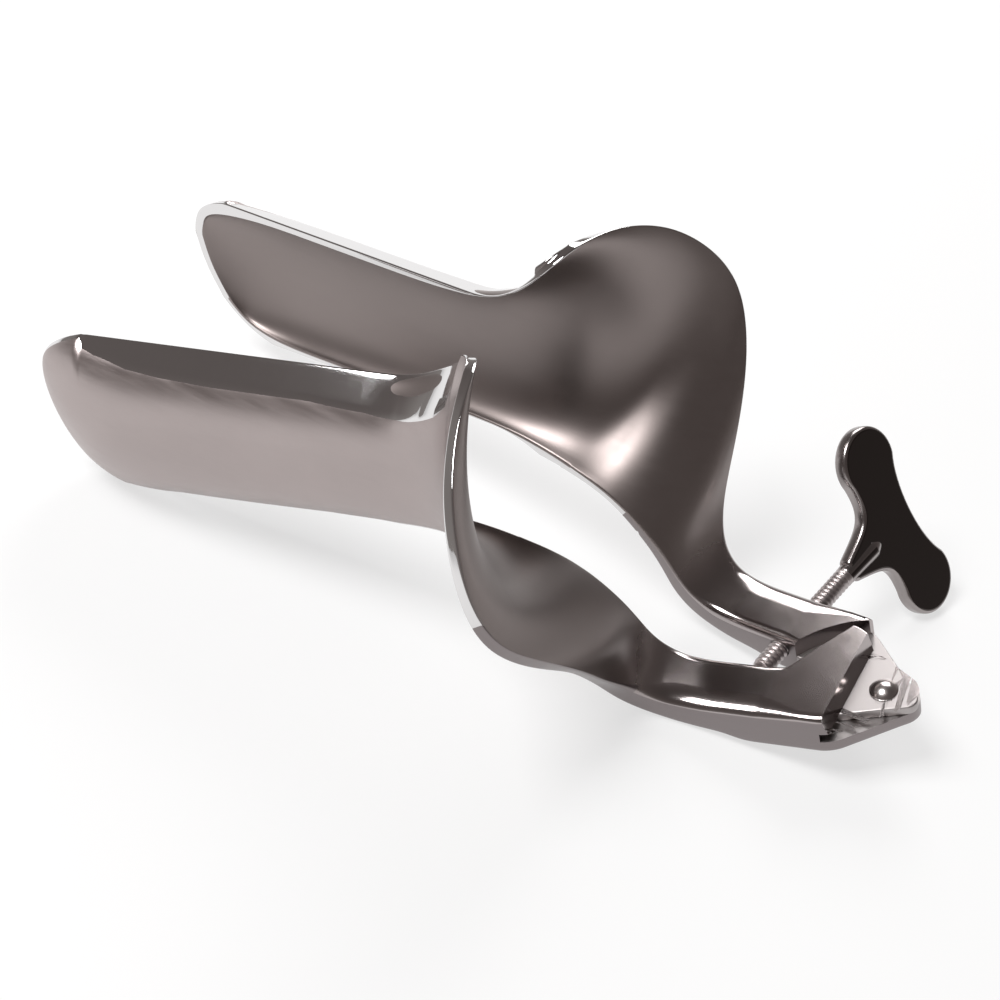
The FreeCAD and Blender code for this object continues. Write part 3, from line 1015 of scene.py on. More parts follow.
class Valve:
    """One whole valve: the sheet, its arm and its half of the hinge."""

    def __init__(self, half: Half, hinge_frame: HingeFrame) -> None:
        """Keep what the valve is built from.

        Args:
            half: Near or far.
            hinge_frame: The instrument's axes.
        """
        self.half = half
        self.placing = hinge_frame.placing(half)
        self.form, self.hinge, self.edges = ValveForm(), HingeForm(), Edges()
        self.plan = RingPlan()
        self.sheet = ValveSheet(self.form, self.edges, self.plan)

    def arm_share(self, reach: float) -> float:
        """0 on the bell, 1 on the arm, smooth between them."""
        x = min(1.0, max(0.0, (self.form.arm_from - reach) / self.form.arm_over))
        return x * x * (3 - 2 * x)

    def spacing(self, reach: float) -> float:
        """How far apart the rings are, by the reach of the upper rim."""
        return float(np.interp(reach, *zip(*self.plan.spacing_marks)))

    def places(self, net: SheetNet) -> np.ndarray:
        """Space the rings along the sheet, up to the plain hinge section.

        Args:
            net: The sheet's poles.

        Returns:
            Places from 0 at the tip.
        """
        spans = len(net.stations) - DEGREE
        fine = np.linspace(0.0, (spans - 1) / spans, self.plan.along)
        outer, _ = net.faces(fine, np.array([0.0, 0.5, 1.0]))
        step = np.linalg.norm(np.diff(outer, axis=0), axis=2).max(axis=1)
        rows = np.array([step[i] / self.spacing(outer[i, 2, 0]) for i in range(len(step))])
        run = np.concatenate([[0.0], np.cumsum(rows)])
        return np.interp(np.linspace(0.0, run[-1], int(run[-1]) + 2), run, fine)

    def sheet_rings(self) -> list[np.ndarray]:
        """Make the rings from the tip to the plain hinge section.

        Returns:
            The rings in order.
        """
        net = SheetNet(self.form.stations())
        along = self.places(net)
        across = (1 - np.cos(np.linspace(0.0, math.pi, self.plan.across))) / 2
        across = 0.5 * across + 0.5 * np.linspace(0.0, 1.0, self.plan.across)
        outer, inner = net.faces(along, across)
        outer[:, :, 1] = np.maximum(outer[:, :, 1], self.form.parting)
        inner[:, :, 1] = np.maximum(inner[:, :, 1], self.form.parting)
        return [self.sheet.ring(outer[i], inner[i], self.arm_share(inner[i][-1, 0]))
                for i in range(len(along))]

    def arm_ring(self, reach: float, low: float, high: float) -> np.ndarray:
        """Make a ring of the arm.

        Args:
            reach: Reach of the ring.
            low: Its inner side.
            high: Its outer side.

        Returns:
            The ring's points.
        """
        form, edges = self.form, self.edges
        strip = min(edges.arm_strip, edges.arm_strip_share * (high - low))
        bottom = [np.array([reach, s, form.hinge_bottom])
                  for s in (low, low + strip, high - strip, high)]
        top = [np.array([reach, s, form.arm_top]) for s in (high, low)]
        sides = [np.array(bottom[k:k + 2]) for k in range(3)]
        sides += [np.array([bottom[3], top[0]]), np.array(top), np.array([top[1], bottom[0]])]
        plain = min(1.0, max(0.0, (reach - form.plain_from) / form.plain_over))
        return rounded_ring(sides, edges.corners(1.0, edges.crease, plain), self.plan)

    def arm_rings(self, last: float) -> list[np.ndarray]:
        """Rings from the plain hinge section to the end of this half's bar.

        Args:
            last: Reach of the sheet's last ring.

        Returns:
            The rings in order.
        """
        form, plan, outline = self.form, self.plan, self.hinge.block
        if self.half is Half.FAR:
            reaches = np.arange(last - plan.far_step, plan.far_end, -plan.far_step)
            return [self.arm_ring(r, form.parting, outline.at(r)) for r in reaches]
        reaches = list(np.arange(last - plan.near_step, outline.start, -plan.near_step))
        swing = math.radians(outline.half_angle)
        nose = np.linspace(swing, math.pi / 2 - plan.nose_margin, plan.nose_rings)
        reaches += [outline.centre - outline.radius * math.sin(t) for t in nose]
        rings = []
        for reach in reaches:
            high = outline.at(reach)
            low = max(self.hinge.cheek_low(reach, form.parting), -high)
            rings.append(self.arm_ring(reach, low, high))
        return rings

    def finish_of(self, side: int, corner: bool, reach: float) -> Finish:
        """Choose the finish of one part of a ring.

        Args:
            side: Number of the ring's side.
            corner: Whether the part is the rounded corner after that side.
            reach: Mean reach of the ring.

        Returns:
            The finish.
        """
        form = self.form
        blade, arm = reach > form.land_end, reach < form.arm_finish_from
        # The bell and side colours that these rules hand out are darkened as painted shade.
        if side == 4 or (arm and corner and side == 3):
            return Finish.BELL
        if arm:
            return Finish.SIDE
        if side in (3, 5) or corner:
            return Finish.LAND if reach > form.rim_finish_from else Finish.SIDE
        return Finish.LAND if side in (0, 2) and blade else Finish.WEB

    def bar(self) -> bpy.types.Object:
        """Make the sheet and arm as one closed mesh.

        Returns:
            The bar.
        """
        rings = self.sheet_rings()
        rings += self.arm_rings(float(rings[-1][:, 0].mean()))
        points = self.plan.total()
        faces = ring_faces(len(rings), points, True)
        part = []
        for side, count in enumerate(self.plan.sides()):
            part += [(side, False)] * count + [(side, True)] * self.plan.corner
        slots = []
        for i in range(len(rings) - 1):
            reach = float(rings[i][:, 0].mean())
            slots += [self.finish_of(*part[k], reach).value for k in range(points)]
        land, web, rim = self.plan.land, self.plan.web, self.plan.rim
        outer_count = 2 * land + web + 2 * self.plan.corner
        outer_last = outer_count - 1
        inner_first = outer_count + self.plan.corner + rim + self.plan.corner
        inner_count = self.plan.sides()[4]
        faces_tip, caps = [], []
        for k in range(outer_last):
            a, b = k, k + 1
            c, d = inner_first + inner_count - 2 - k, inner_first + inner_count - 1 - k
            faces_tip.append((a, b, c, d))
        caps.append(tuple([outer_last] + list(range(outer_last + 1, inner_first + 1))))
        caps.append(tuple(list(range(inner_first + inner_count - 1, points)) + [0]))
        end = (len(rings) - 1) * points
        caps.append(tuple(range(end, end + points)))
        faces += faces_tip + caps
        slots += [Finish.LAND.value] * (len(faces_tip) + 2) + [Finish.SIDE.value]
        name = f"{self.half.name.lower()}_bar"
        return make_object(name, placed(np.concatenate(rings), self.placing), faces, slots)

    def near_fork(self, piece: bpy.types.Object) -> None:
        """Cut the tongue's slot, the slanted end of the upper cheek and the rivet's hole.

        Args:
            piece: The near bar, which is changed.
        """
        hinge, form = self.hinge, self.form
        far_out = hinge.cutter_reach
        slot = [(-far_out, form.parting), (-far_out, -far_out), (far_out, -far_out),
                (far_out, form.parting)]
        slot += arc((0.0, 0.0), hinge.tongue_radius + hinge.tongue_clearance, 0.5, 179.5, 73)
        low, high = -hinge.tongue_thickness - hinge.lap_clearance, hinge.lap_clearance
        combine(piece, prism("slot", slot, low, high, self.placing, Finish.LAP), "DIFFERENCE")
        rise = 2 * (form.arm_top - high)
        a, b = hinge.cheek_face_reach, hinge.cheek_face_reach + 2 * hinge.cheek_face_lean
        swing = math.radians(hinge.cheek_face_turn)
        points = []
        for s in (-far_out, far_out):
            for r, z in ((a, high), (b, high + rise), (-far_out, high + rise), (-far_out, high)):
                points.append((r * math.cos(swing) + s * math.sin(swing),
                               s * math.cos(swing) - r * math.sin(swing), z))
        combine(piece, spanned("clearing", points, self.placing, Finish.ARM), "DIFFERENCE")
        bottom, below, top = form.hinge_bottom, form.hinge_bottom - hinge.bore_below, hinge.bore_top
        profile = [(0.0, below), (hinge.foot_radius, below), (hinge.foot_radius, bottom),
                   (hinge.rivet_radius, bottom + hinge.foot_depth), (hinge.rivet_radius, top),
                   (0.0, top)]
        combine(piece, revolve("bore", profile, self.placing, CIRCLE_POINTS), "DIFFERENCE")

    def far_tongue(self, piece: bpy.types.Object) -> None:
        """Cut the bar's shoulder, add the tongue and cut the rivet's hole.

        Args:
            piece: The far bar, which is changed.
        """
        hinge, form, taper = self.hinge, self.form, self.hinge.tongue
        wide, tall, lap = hinge.cutter_reach, hinge.cutter_height, hinge.tongue_lap
        cut = arc_through(*hinge.shoulder, 40)
        cut += [(cut[-1][0] - hinge.shoulder_lead, wide), (-wide, wide), (-wide, -wide),
                (cut[0][0], -wide)]
        combine(piece, prism("shoulder", cut, -tall, tall, self.placing, Finish.ARM), "DIFFERENCE")
        root = hinge.tongue_root
        reaches = np.concatenate([[root], np.linspace(taper.corner, taper.corner_end, 9)])
        outline = [(root + lap, lap), (root + lap, taper.width - lap)]
        outline += [(r, taper.at(r)) for r in reaches]
        swing = 90.0 + taper.half_angle
        outline += arc((taper.centre, 0.0), taper.radius, swing, 360.0 - swing, 17)
        meet = next(r for r in np.arange(0.0, 15.0, 0.01)
                    if math.hypot(r, taper.at(r)) > hinge.tongue_radius)
        turn = math.degrees(math.atan2(-taper.at(meet), meet))
        outline += arc((0.0, 0.0), hinge.tongue_radius, turn, hinge.tongue_end_turn, 24)
        outline += [(root, form.parting)]
        tongue = prism("tongue", outline, -hinge.tongue_thickness, 0.0, self.placing, Finish.LAP)
        round_edges(tongue, hinge.tongue_edge, 3, 30.0)
        combine(piece, tongue, "UNION")
        ring = circle(hinge.rivet_radius + hinge.bore_clearance)
        combine(piece, prism("bore", ring, -tall, tall, self.placing, Finish.LAP), "DIFFERENCE")

    def build(self, screw: "WingScrew") -> bpy.types.Object:
        """Build the valve.

        Args:
            screw: The screw, which the far arm is bored for.

        Returns:
            The finished mesh, not yet dressed.
        """
        piece = self.bar()
        for _ in Finish:
            piece.data.materials.append(None)
        if self.half is Half.NEAR:
            self.near_fork(piece)
        else:
            self.far_tongue(piece)
            combine(piece, screw.bore_cutter(), "DIFFERENCE")
        piece.name = f"{self.half.name.lower()}_forging"
        return piece


@dataclass
class Rivet:
    """The domed rivet in the hinge, in millimetres."""

    hinge: HingeForm
    head_radius: float = 2.65
    head_height: float = 1.3
    head_lip: float = 0.06
    lip_top: float = 0.08
    dome_from: float = 0.14
    seat: float = 0.04
    facets: int = 64

    def build(self, hinge_frame: HingeFrame, form: ValveForm) -> bpy.types.Object:
        """Turn the rivet's profile about its axis.

        Args:
            hinge_frame: The instrument's axes.
            form: Sizes of the valves.

        Returns:
            The rivet.
        """
        hinge, base, bottom = self.hinge, self.seat, form.hinge_bottom
        ball = (self.head_radius ** 2 + self.head_height ** 2) / (2 * self.head_height)
        profile = [(0.0, bottom), (hinge.foot_radius, bottom),
                   (hinge.rivet_radius, bottom + hinge.foot_depth), (hinge.rivet_radius, base),
                   (self.head_radius - self.head_lip, base),
                   (self.head_radius, base + self.lip_top)]
        centre = base + self.head_height - ball
        start = math.asin((base + self.dome_from - centre) / ball)
        for t in np.linspace(start, math.pi / 2, 18):
            profile.append((min(self.head_radius, ball * math.cos(t)), centre + ball * math.sin(t)))
        profile[-1] = (0.0, profile[-1][1])
        return revolve("rivet", profile, hinge_frame.middle_placing(), self.facets)


def revolve(name: str, profile: Sequence[tuple[float, float]], placing: Matrix,
            count: int) -> bpy.types.Object:
    """A closed turned solid about the placing's Z axis.

    Args:
        name: The object's name.
        profile: Radius and height, with both ends on the axis.
        placing: The matrix from the profile's axes to the frame.
        count: How many faces it has around.

    Returns:
        The new object.
    """
    points = [(0.0, 0.0, profile[0][1])]
    inner = profile[1:-1]
    for radius, z in inner:
        for k in range(count):
            t = 2 * math.pi * k / count
            points.append((radius * math.cos(t), radius * math.sin(t), z))
    points.append((0.0, 0.0, profile[-1][1]))
    faces = [(0, 1 + (k + 1) % count, 1 + k) for k in range(count)]
    for i in range(len(inner) - 1):
        for k in range(count):
            a, b = 1 + i * count + k, 1 + i * count + (k + 1) % count
            faces.append((a, b, b + count, a + count))
    top, last = len(points) - 1, 1 + (len(inner) - 1) * count
    faces += [(last + k, last + (k + 1) % count, top) for k in range(count)]
    return make_object(name, placed(np.array(points), placing), faces)


@dataclass
class WingScrew:
    """The threaded spindle and the wing brazed on it, in millimetres."""

    hinge_frame: HingeFrame
    form: ValveForm
    radius: float = 2.0
    fit: float = 0.05
    reach: float = 22.7
    height: float = 0.6
    tip_gap: float = 0.7
    length: float = 29.0
    point: float = 0.7
    pitch: float = 1.1
    depth: float = 0.42
    thickness: float = 3.2
    lobe_radius: float = 7.4
    lobe_offset: float = 14.8
    stand: float = 18.2
    turn: float = 22.3
    stem_radius: float = 2.3
    stem_length: float = 9.0
    waist: float = 21.6
    bore: tuple[float, float] = (3.0, 28.0)
    lobe_turns: tuple[float, float] = (-104.0, 108.0)
    waist_handle: float = 6.0
    foot_rise: float = 1.0
    foot_handle: tuple[float, float] = (3.0, 8.2)
    lobe_handle: tuple[float, float] = (7.6, 0.6)
    wing_edge: float = 0.95
    stem_overlap: float = 3.0
    stem_tip: float = 1.2
    stem_chamfer: tuple[float, float] = (0.1, 0.15)
    # How square to the wing's flat a face must be to get the near-black painted dark reflection.
    painted_dark_face_share: float = 0.97

    def placing(self, turn: float = 0.0) -> Matrix:
        """From the screw's own axes, Z from its point to its wing and X along the rivet.

        Args:
            turn: Degrees that X is turned towards the blades.

        Returns:
            A 4 by 4 matrix.
        """
        frame_ = self.hinge_frame
        side = frame_.sides[Half.FAR]
        arm = frame_.reach_way(side)
        opening = 2 * HALF_OPENING
        tip = (self.tip_gap + self.form.parting) / math.cos(opening)
        tip -= self.reach * math.tan(opening)
        origin = frame_.rivet + (arm * self.reach + side * tip + frame_.up * self.height) * MM
        way = side * math.cos(SCREW_LEAN) - arm * math.sin(SCREW_LEAN)
        across = way.cross(frame_.up)
        angle = math.radians(turn)
        x = frame_.up * math.cos(angle) - across * math.sin(angle)
        columns = (x * MM, way.cross(x) * MM, way * MM)
        return Matrix.Translation(origin) @ Matrix(columns).transposed().to_4x4()

    def bore_cutter(self) -> bpy.types.Object:
        """A cutter for the far arm's tapped hole."""
        ring = circle(self.radius + self.fit)
        return prism("tapped_hole", ring, *self.bore, self.placing(), Finish.LAP)

    def wing_outline(self) -> list[tuple[float, float]]:
        """Draw the wing's outline across (X) and along (Z) the screw, anticlockwise.

        Returns:
            The outline's points.
        """
        at, r, off = self.length + self.stand, self.lobe_radius, self.lobe_offset
        right = arc((off, at), r, *self.lobe_turns, 40)
        left = [(-x, z) for x, z in reversed(right)]
        start, end = right[-1], left[0]
        waist, pull = self.length + self.waist, self.waist_handle
        top = bezier(start, (start[0] - pull, waist), (end[0] + pull, waist), end, 18)
        foot = (self.stem_radius, self.length + self.foot_rise)
        first = right[0]
        above = (foot[0] + self.foot_handle[0], foot[1] + self.foot_handle[1])
        before = (first[0] - self.lobe_handle[0], first[1] + self.lobe_handle[1])
        under = bezier(foot, above, before, first, 22)
        under_left = [(-x, z) for x, z in reversed(under)]
        return right + top[1:-1] + left + under_left[1:] + under[:-1]

    def wing(self) -> bpy.types.Object:
        """Make the flat two-lobed wing with its tapered stem.

        Returns:
            The wing with its materials: its flat faces carry a painted dark reflection, its edges a
                lighter steel.
        """
        half = self.thickness / 2
        points = [(x, y, z) for y in (-half, half) for x, z in self.wing_outline()]
        plate = spanned("wing", points, self.placing(self.turn))
        round_edges(plate, self.wing_edge, 5, 50.0)
        reach = self.length + self.stem_length + self.stem_overlap
        cut, rise = self.stem_chamfer
        profile = [(0.0, self.length), (self.radius - cut, self.length),
                   (self.radius, self.length + rise)]
        for t in np.linspace(0.1, 1.0, 10):
            profile.append((self.radius + (self.stem_radius - self.radius) * t,
                            self.length + self.stem_length * t))
        profile += [(self.stem_tip, reach), (0.0, reach)]
        stem = revolve("stem", profile, self.placing(), CIRCLE_POINTS)
        combine(plate, stem, "UNION")
        flat = (self.placing(self.turn).to_3x3() @ Vector((0.0, 1.0, 0.0))).normalized()
        for steel in WING_STEELS_WITH_PAINTED_DARK_FACE:
            plate.data.materials.append(steel.material(self.hinge_frame.rivet))
        # Faces that look along the wing's flat get the near-black colour, a painted dark reflection;
        # the rest get the edge steel.
        for face in plate.data.polygons:
            face.material_index = int(abs(face.normal.dot(flat)) > self.painted_dark_face_share)
        return plate

    def spindle(self) -> bpy.types.Object:
        """Make the threaded spindle, its thread cut by a node tree.

        Returns:
            The spindle.
        """
        piece = make_object("spindle", np.zeros((1, 3)), [])
        step = piece.modifiers.new("thread", "NODES")
        step.node_group = thread_tree()
        values = {"Radius": self.radius, "Length": self.length, "Pitch": self.pitch,
                  "Depth": self.depth, "Point": self.point}
        for item in step.node_group.interface.items_tree:
            if item.item_type == "SOCKET" and item.in_out == "INPUT" and item.name in values:
                step[item.identifier] = values[item.name]
        evaluated(piece)
        piece.data.transform(self.placing())
        return piece


def bezier(a: tuple[float, float], b: tuple[float, float], c: tuple[float, float],
           d: tuple[float, float], count: int) -> list[tuple[float, float]]:
    """Points of a cubic curve.

    Args:
        a: Where the curve starts.
        b: Its first handle.
        c: Its second handle.
        d: Where it ends.
        count: How many points are made.

    Returns:
        The points.
    """
    t = np.linspace(0.0, 1.0, count)[:, None]
    a, b, c, d = (np.array(p) for p in (a, b, c, d))
    path = (1 - t) ** 3 * a + 3 * (1 - t) ** 2 * t * b + 3 * (1 - t) * t ** 2 * c + t ** 3 * d
    return [tuple(p) for p in path]


class Wire:
    """A node socket that adds maths nodes when it is used in an expression."""

    def __init__(self, tree: "Tree", socket: bpy.types.NodeSocket) -> None:
        """Wrap a socket of a tree."""
        self.tree, self.socket = tree, socket

    def other(self, key: int | str) -> "Wire":
        """Another output of the same node."""
        return Wire(self.tree, self.socket.node.outputs[key])

    def _math(self, operation: str, a: "Number", b: "Number") -> "Wire":
        """A maths node on two numbers."""
        return self.tree.maths(operation, a, b)

    def __add__(self, other: "Number") -> "Wire":
        """This plus another."""
        return self._math("ADD", self, other)

    def __radd__(self, other: "Number") -> "Wire":
        """Another plus this."""
        return self._math("ADD", other, self)

    def __sub__(self, other: "Number") -> "Wire":
        """This minus another."""
        return self._math("SUBTRACT", self, other)

    def __rsub__(self, other: "Number") -> "Wire":
        """Another minus this."""
        return self._math("SUBTRACT", other, self)

    def __mul__(self, other: "Number") -> "Wire":
        """This times another."""
        return self._math("MULTIPLY", self, other)

    def __rmul__(self, other: "Number") -> "Wire":
        """Another times this."""
        return self._math("MULTIPLY", other, self)

    def __truediv__(self, other: "Number") -> "Wire":
        """This divided by another."""
        return self._math("DIVIDE", self, other)


Number = Union[float, Wire]


class Tree:
    """A node tree with one way to add a node."""

    def __init__(self, tree: bpy.types.NodeTree) -> None:
        """Wrap a tree."""
        self.tree = tree

    def node(self, kind: str, settings: dict | None = None, inputs: Iterable | dict = (),
             output: int | str = 0) -> Wire:
        """Add a node.

        Args:
            kind: The node's type.
            settings: Its properties, set first. Stops of a ramp go under "stops".
            inputs: Values or wires, in order or by the sockets' names.
            output: Which output to return.

        Returns:
            The chosen output.
        """
        made = self.tree.nodes.new(kind)
        for key, value in (settings or {}).items():
            if key == "stops":
                ramp = made.color_ramp.elements
                while len(ramp) < len(value):
                    ramp.new(0.5)
                for element, (at, colour) in zip(ramp, value):
                    element.position, element.color = at, colour
            else:
                setattr(made, key, value)
        pairs = inputs.items() if isinstance(inputs, dict) else enumerate(inputs)
        for key, value in pairs:
            if value is None:
                continue
            if isinstance(value, Wire):
                self.tree.links.new(value.socket, made.inputs[key])
            else:
                made.inputs[key].default_value = value
        return Wire(self, made.outputs[output])

    def maths(self, operation: str, *values: Number) -> Wire:
        """Add a maths node."""
        return self.node("ShaderNodeMath", {"operation": operation}, values)

    def noise(self, place: Wire, scale: float, detail: float, **more: float) -> Wire:
        """Add a noise texture."""
        return self.node("ShaderNodeTexNoise", {"noise_dimensions": "3D"},
                         {"Vector": place, "Scale": scale, "Detail": detail} | more)

    def end(self, kind: str, wire: Wire, socket: int | str = "Surface") -> None:
        """Add an output node and lead a wire to it."""
        self.tree.links.new(wire.socket, self.tree.nodes.new(kind).inputs[socket])


def fresh_tree(owner: bpy.types.Material | bpy.types.World) -> Tree:
    """Empty the node tree of a material or a world."""
    owner.use_nodes = True
    owner.node_tree.nodes.clear()
    return Tree(owner.node_tree)


def thread_tree() -> bpy.types.NodeTree:
    """Build a node tree that makes a threaded spindle along Z from its point.

    Returns:
        The node tree.
    """
    around, rings, runout_length, least = 56, 420, 2.2, 0.0001
    tree = bpy.data.node_groups.new("threaded_spindle", "GeometryNodeTree")
    for name in ("Radius", "Length", "Pitch", "Depth", "Point"):
        tree.interface.new_socket(name, in_out="INPUT", socket_type="NodeSocketFloat")
    tree.interface.new_socket("Material", in_out="INPUT", socket_type="NodeSocketMaterial")
    tree.interface.new_socket("Geometry", in_out="OUTPUT", socket_type="NodeSocketGeometry")
    t = Tree(tree)
    given = tree.nodes.new("NodeGroupInput")
    radius, length, pitch, depth, point = (Wire(t, given.outputs[k]) for k in range(5))
    blank = t.node("GeometryNodeMeshCylinder", {"fill_type": "TRIANGLE_FAN"},
                   {"Vertices": around, "Side Segments": rings, "Radius": radius,
                    "Depth": length})
    place = t.node("GeometryNodeInputPosition")
    parts = t.node("ShaderNodeSeparateXYZ", None, [place])
    x, y, z = (parts.other(k) for k in range(3))
    along = z + length * 0.5
    turn = t.maths("ARCTAN2", y, x) / (2 * math.pi)
    phase = (along / pitch - turn) * math.pi
    crest = t.maths("ABSOLUTE", t.maths("SINE", phase))
    runout = t.node("ShaderNodeMapRange", None, [length - along, 0.0, runout_length, 0.0, 1.0])
    sunk = (1.0 - crest) * depth * runout
    tip = t.node("ShaderNodeMapRange", None, [along, 0.0, point, 1.0, 0.0]) * point
    across = t.maths("SQRT", x * x + y * y)
    share = (across - (sunk + tip) * (across / radius)) / t.maths("MAXIMUM", across, least)
    spot = t.node("ShaderNodeCombineXYZ", None, [x * share, y * share, along])
    shaped = t.node("GeometryNodeSetPosition", None, {"Geometry": blank, "Position": spot})
    real = t.node("GeometryNodeRealizeInstances", None, [shaped])
    dressed = t.node("GeometryNodeSetMaterial", None,
                     {"Geometry": real, "Material": Wire(t, given.outputs[5])})
    t.end("NodeGroupOutput", dressed, 0)
    return tree


@dataclass(frozen=True)
class Steel:
    """A steel finish: its colour, gloss, grain and pits; some colours are darkened as painted shade.
    """

    name: str
    colour: tuple[float, float, float]
    roughness: float
    spread: float = 0.05
    grain: float = 0.0
    grain_scale: tuple[float, float, float] = (900.0, 60.0, 900.0)
    pits: float = 0.0
    pit_scale: float = 1400.0
    cloud: float = 0.06
    hinge_colour: tuple[float, float, float] | None = None
    hinge_roughness: float = 0.0
    hinge_span: tuple[float, float] = (0.036, 0.056)
    cloud_scale: float = 55.0
    grain_turn: float = -20.4
    grain_gloss: float = 0.3
    bump_strength: float = 0.35
    bump_distance: float = 0.00008

    def material(self, rivet: Vector) -> bpy.types.Material:
        """Build the finish as a material on Object coordinates.

        Args:
            rivet: Where the rivet is, because an arm is polished glossier near it and the bell's
                painted shade lifts to hinge_colour there.

        Returns:
            The new material.
        """
        made = bpy.data.materials.new(self.name)
        t = fresh_tree(made)
        place = t.node("ShaderNodeTexCoord", None, (), "Object")
        broad = t.noise(place, self.cloud_scale, 4.0, Roughness=0.6)
        turned = t.node("ShaderNodeMapping", None,
                        {"Vector": place, "Rotation": (0.0, math.radians(self.grain_turn), 0.0),
                         "Scale": self.grain_scale})
        lines = t.noise(turned, 1.0, 5.0, Roughness=0.65)
        specks = t.noise(place, self.pit_scale, 3.0)
        rough = self.roughness + (broad - 0.5) * self.spread
        rough = rough + (lines - 0.5) * self.grain * self.grain_gloss
        dull = tuple(c * (1 - self.cloud) for c in self.colour) + (1.0,)
        tint = t.node("ShaderNodeMix", {"data_type": "RGBA"},
                      {0: broad * 0.5 + lines * 0.5, 6: dull, 7: self.colour + (1.0,)}, 2)
        # Near the rivet the tint moves to hinge_colour; on the bell this lifts its painted shade to
        # the polished arm's colour.
        if self.hinge_colour is not None:
            away = t.node("ShaderNodeVectorMath", {"operation": "DISTANCE"},
                          [place, tuple(rivet)], "Value")
            near = t.node("ShaderNodeMapRange", {"interpolation_type": "SMOOTHSTEP"},
                          [away, *self.hinge_span, 1.0, 0.0])
            tint = t.node("ShaderNodeMix", {"data_type": "RGBA"},
                          {0: near, 6: tint, 7: self.hinge_colour + (1.0,)}, 2)
            rough = rough + near * (self.hinge_roughness - self.roughness)
        height = lines * self.grain + specks * self.pits
        bump = t.node("ShaderNodeBump", None,
                      {"Strength": self.bump_strength, "Distance": self.bump_distance,
                       "Height": height})
        shader = t.node("ShaderNodeBsdfPrincipled", None,
                        {"Base Color": tint, "Metallic": 1.0, "Roughness": rough, "Normal": bump})
        t.end("ShaderNodeOutputMaterial", shader)
        return made


STEELS = {
    Finish.WEB: Steel("satin_web", (0.52, 0.455, 0.445), 0.38, 0.08, 1.1,
                      (60.0, 900.0, 500.0), cloud=0.3),
    Finish.LAND: Steel("mirror_land", (0.74, 0.73, 0.73), 0.05, 0.03, 0.05),
    # The bell's dark base colour is painted shade, for the dim room that its hollow reflects; near
    # the rivet it lifts to the arm's colour.
    Finish.BELL: Steel("polished_bell", (0.29, 0.25, 0.24), 0.42, 0.06, 0.25,
                       (60.0, 300.0, 900.0), hinge_colour=(0.42, 0.38, 0.375),
                       hinge_roughness=0.14),
    Finish.ARM: Steel("polished_arm", (0.42, 0.38, 0.375), 0.14, 0.05, 0.1),
    # The arm sides' dark base colour is painted shade, not the steel's own colour.
    Finish.SIDE: Steel("satin_arm", (0.26, 0.23, 0.23), 0.34, 0.08, 0.5, pits=0.3),
    Finish.LAP: Steel("ground_lap", (0.44, 0.41, 0.405), 0.42, 0.1, 0.1, pits=0.2),
}
RIVET_STEEL = Steel("rivet_steel", (0.55, 0.51, 0.50), 0.24, 0.08, 0.0, pits=0.3)
SCREW_STEEL = Steel("screw_steel", (0.50, 0.455, 0.45), 0.36, 0.08, 0.1)
# The wing face's near-black colour is a painted dark reflection, not the steel's own colour.
WING_STEELS_WITH_PAINTED_DARK_FACE = (Steel("wing_edge", (0.34, 0.31, 0.305), 0.22, 0.05, 0.1),
               Steel("wing_face", (0.075, 0.065, 0.062), 0.12, 0.03, 0.05))


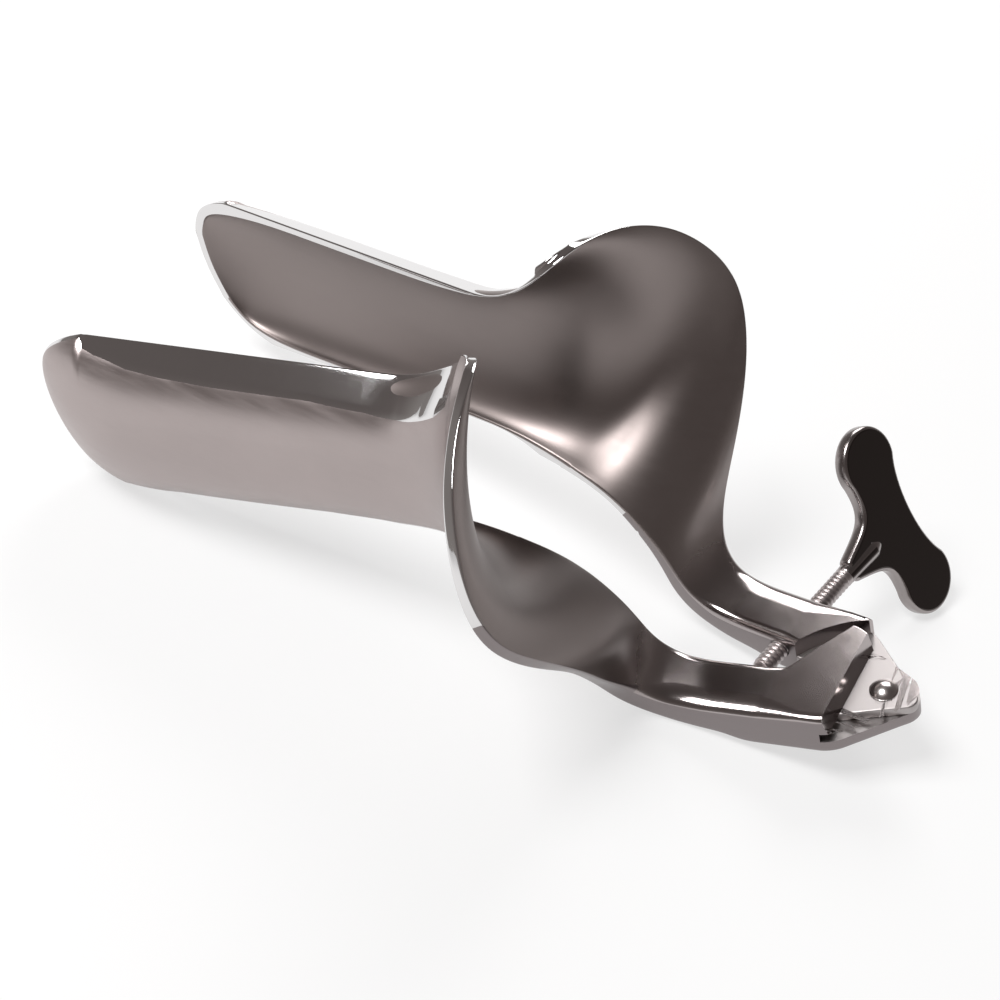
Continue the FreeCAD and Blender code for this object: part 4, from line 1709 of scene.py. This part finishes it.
@dataclass
class Studio:
    """Floor, light and camera."""

    hinge_frame: HingeFrame
    camera_at: tuple[float, float, float] = (82.693, -177.803, 222.302)
    camera_right: tuple[float, float, float] = (0.83895, 0.48868, -0.23946)
    camera_down: tuple[float, float, float] = (0.16769, -0.65076, -0.74053)
    focal_pixels: float = 1550.0
    floor_half: float = 3.0
    floor_glow: float = 0.66
    room: tuple[tuple[float, tuple[float, float, float, float]], ...] = (
        (0.0, (0.26, 0.24, 0.23, 1.0)), (0.45, (0.15, 0.13, 0.125, 1.0)),
        (1.0, (0.09, 0.078, 0.074, 1.0)))

    def camera(self) -> None:
        """Set the camera at the photograph's viewing angle."""
        placing = self.hinge_frame.middle_placing()
        turn = placing.to_3x3().normalized()
        right = turn @ Vector(self.camera_right)
        up = turn @ -Vector(self.camera_down)
        back = right.cross(up)
        data = bpy.data.cameras.new("camera")
        data.sensor_width = SENSOR_MM
        data.lens = self.focal_pixels / IMAGE_PIXELS * SENSOR_MM
        data.clip_start = 0.01
        camera = bpy.data.objects.new("camera", data)
        camera.matrix_world = (Matrix.Translation(placing @ Vector(self.camera_at))
                               @ Matrix((right, up, back)).transposed().to_4x4())
        bpy.context.scene.collection.objects.link(camera)
        bpy.context.scene.camera = camera

    def floor(self) -> None:
        """A plain pale floor that keeps the object's shadow."""
        mesh = bpy.data.meshes.new("floor")
        s = self.floor_half
        mesh.from_pydata([(-s, -s, 0), (s, -s, 0), (s, s, 0), (-s, s, 0)], [], [(0, 1, 2, 3)])
        floor = bpy.data.objects.new("floor", mesh)
        bpy.context.scene.collection.objects.link(floor)
        made = bpy.data.materials.new("pale_floor")
        t = fresh_tree(made)
        rays = t.node("ShaderNodeLightPath", None, (), "Is Camera Ray")
        glossy, through = rays.other("Is Glossy Ray"), rays.other("Is Transmission Ray")
        seen = t.maths("MINIMUM", rays + glossy + through, 1.0)
        paint = t.node("ShaderNodeBsdfDiffuse", None, {"Color": (0.86, 0.86, 0.86, 1.0)})
        glow = t.node("ShaderNodeEmission", None, {"Color": (1.0, 1.0, 1.0, 1.0), "Strength": 1.0})
        both = t.node("ShaderNodeMixShader", None, [seen * self.floor_glow, paint, glow])
        t.end("ShaderNodeOutputMaterial", both)
        mesh.materials.append(made)

    def lamp(self, name: str, at: tuple[float, float, float], size: float, power: float,
             aim: tuple[float, float, float] = (0.0, 0.0, 0.03)) -> None:
        """Add a square soft lamp.

        Args:
            name: The lamp's name.
            at: Where it is, in metres.
            size: Length of its sides in metres.
            power: Its power in watts.
            aim: The place that it points at.
        """
        data = bpy.data.lights.new(name, "AREA")
        data.shape, data.size, data.energy = "SQUARE", size, power
        lamp = bpy.data.objects.new(name, data)
        way = Vector(aim) - Vector(at)
        lamp.matrix_world = Matrix.Translation(at) @ way.to_track_quat("-Z", "Y").to_matrix().to_4x4()
        bpy.context.scene.collection.objects.link(lamp)

    def world(self) -> None:
        """A dim warm room, paler towards the horizon."""
        world = bpy.data.worlds.new("room")
        bpy.context.scene.world = world
        t = fresh_tree(world)
        place = t.node("ShaderNodeTexCoord", None, (), "Generated")
        parts = t.node("ShaderNodeSeparateXYZ", None, [place])
        tone = t.node("ShaderNodeValToRGB", {"stops": self.room}, [parts.other(2)])
        glow = t.node("ShaderNodeBackground", None, {"Color": tone, "Strength": 1.0})
        t.end("ShaderNodeOutputWorld", glow)

    def build(self) -> None:
        """Set up the whole studio."""
        self.camera()
        self.floor()
        self.world()
        self.lamp("key", (-0.35, -0.25, 0.75), 0.35, 7.0)
        self.lamp("back", (-0.25, 0.75, 0.55), 0.5, 5.5)
        bpy.context.scene.view_settings.view_transform = "Standard"


def dress(piece: bpy.types.Object, up: Vector, body: str, node: str) -> None:
    """Shade a finished piece and hand it to its body.

    Args:
        piece: The finished piece.
        up: The rivet's direction.
        body: The body that it moves with.
        node: The model's node that it stands for.
    """
    shade(piece, up)
    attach(piece, body)
    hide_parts(node)
    log.info("%s: %d faces", piece.name, len(piece.data.polygons))


def main() -> None:
    """Build every piece in order."""
    logging.basicConfig(level=logging.INFO, format="%(message)s")
    hinge_frame = HingeFrame(frame["joints"])
    form = ValveForm()
    screw = WingScrew(hinge_frame, form)
    steels = [STEELS[finish].material(hinge_frame.rivet) for finish in Finish]
    for half in Half:
        valve = Valve(half, hinge_frame).build(screw)
        for number, steel in enumerate(steels):
            valve.data.materials[number] = steel
        name = half.name.lower()
        dress(valve, hinge_frame.up, f"{name}_half", f"{name}_valve")
    rivet = Rivet(HingeForm()).build(hinge_frame, form)
    rivet.data.materials.append(RIVET_STEEL.material(hinge_frame.rivet))
    dress(rivet, hinge_frame.up, "near_half", "hinge_rivet")
    spindle = screw.spindle()
    spindle.data.materials.clear()
    spindle.data.materials.append(SCREW_STEEL.material(hinge_frame.rivet))
    dress(spindle, hinge_frame.up, "spindle", "screw_spindle")
    wing = screw.wing()
    dress(wing, hinge_frame.up, "wing", "screw_wing")
    Studio(hinge_frame).build()


if __name__ == "__main__":
    main()
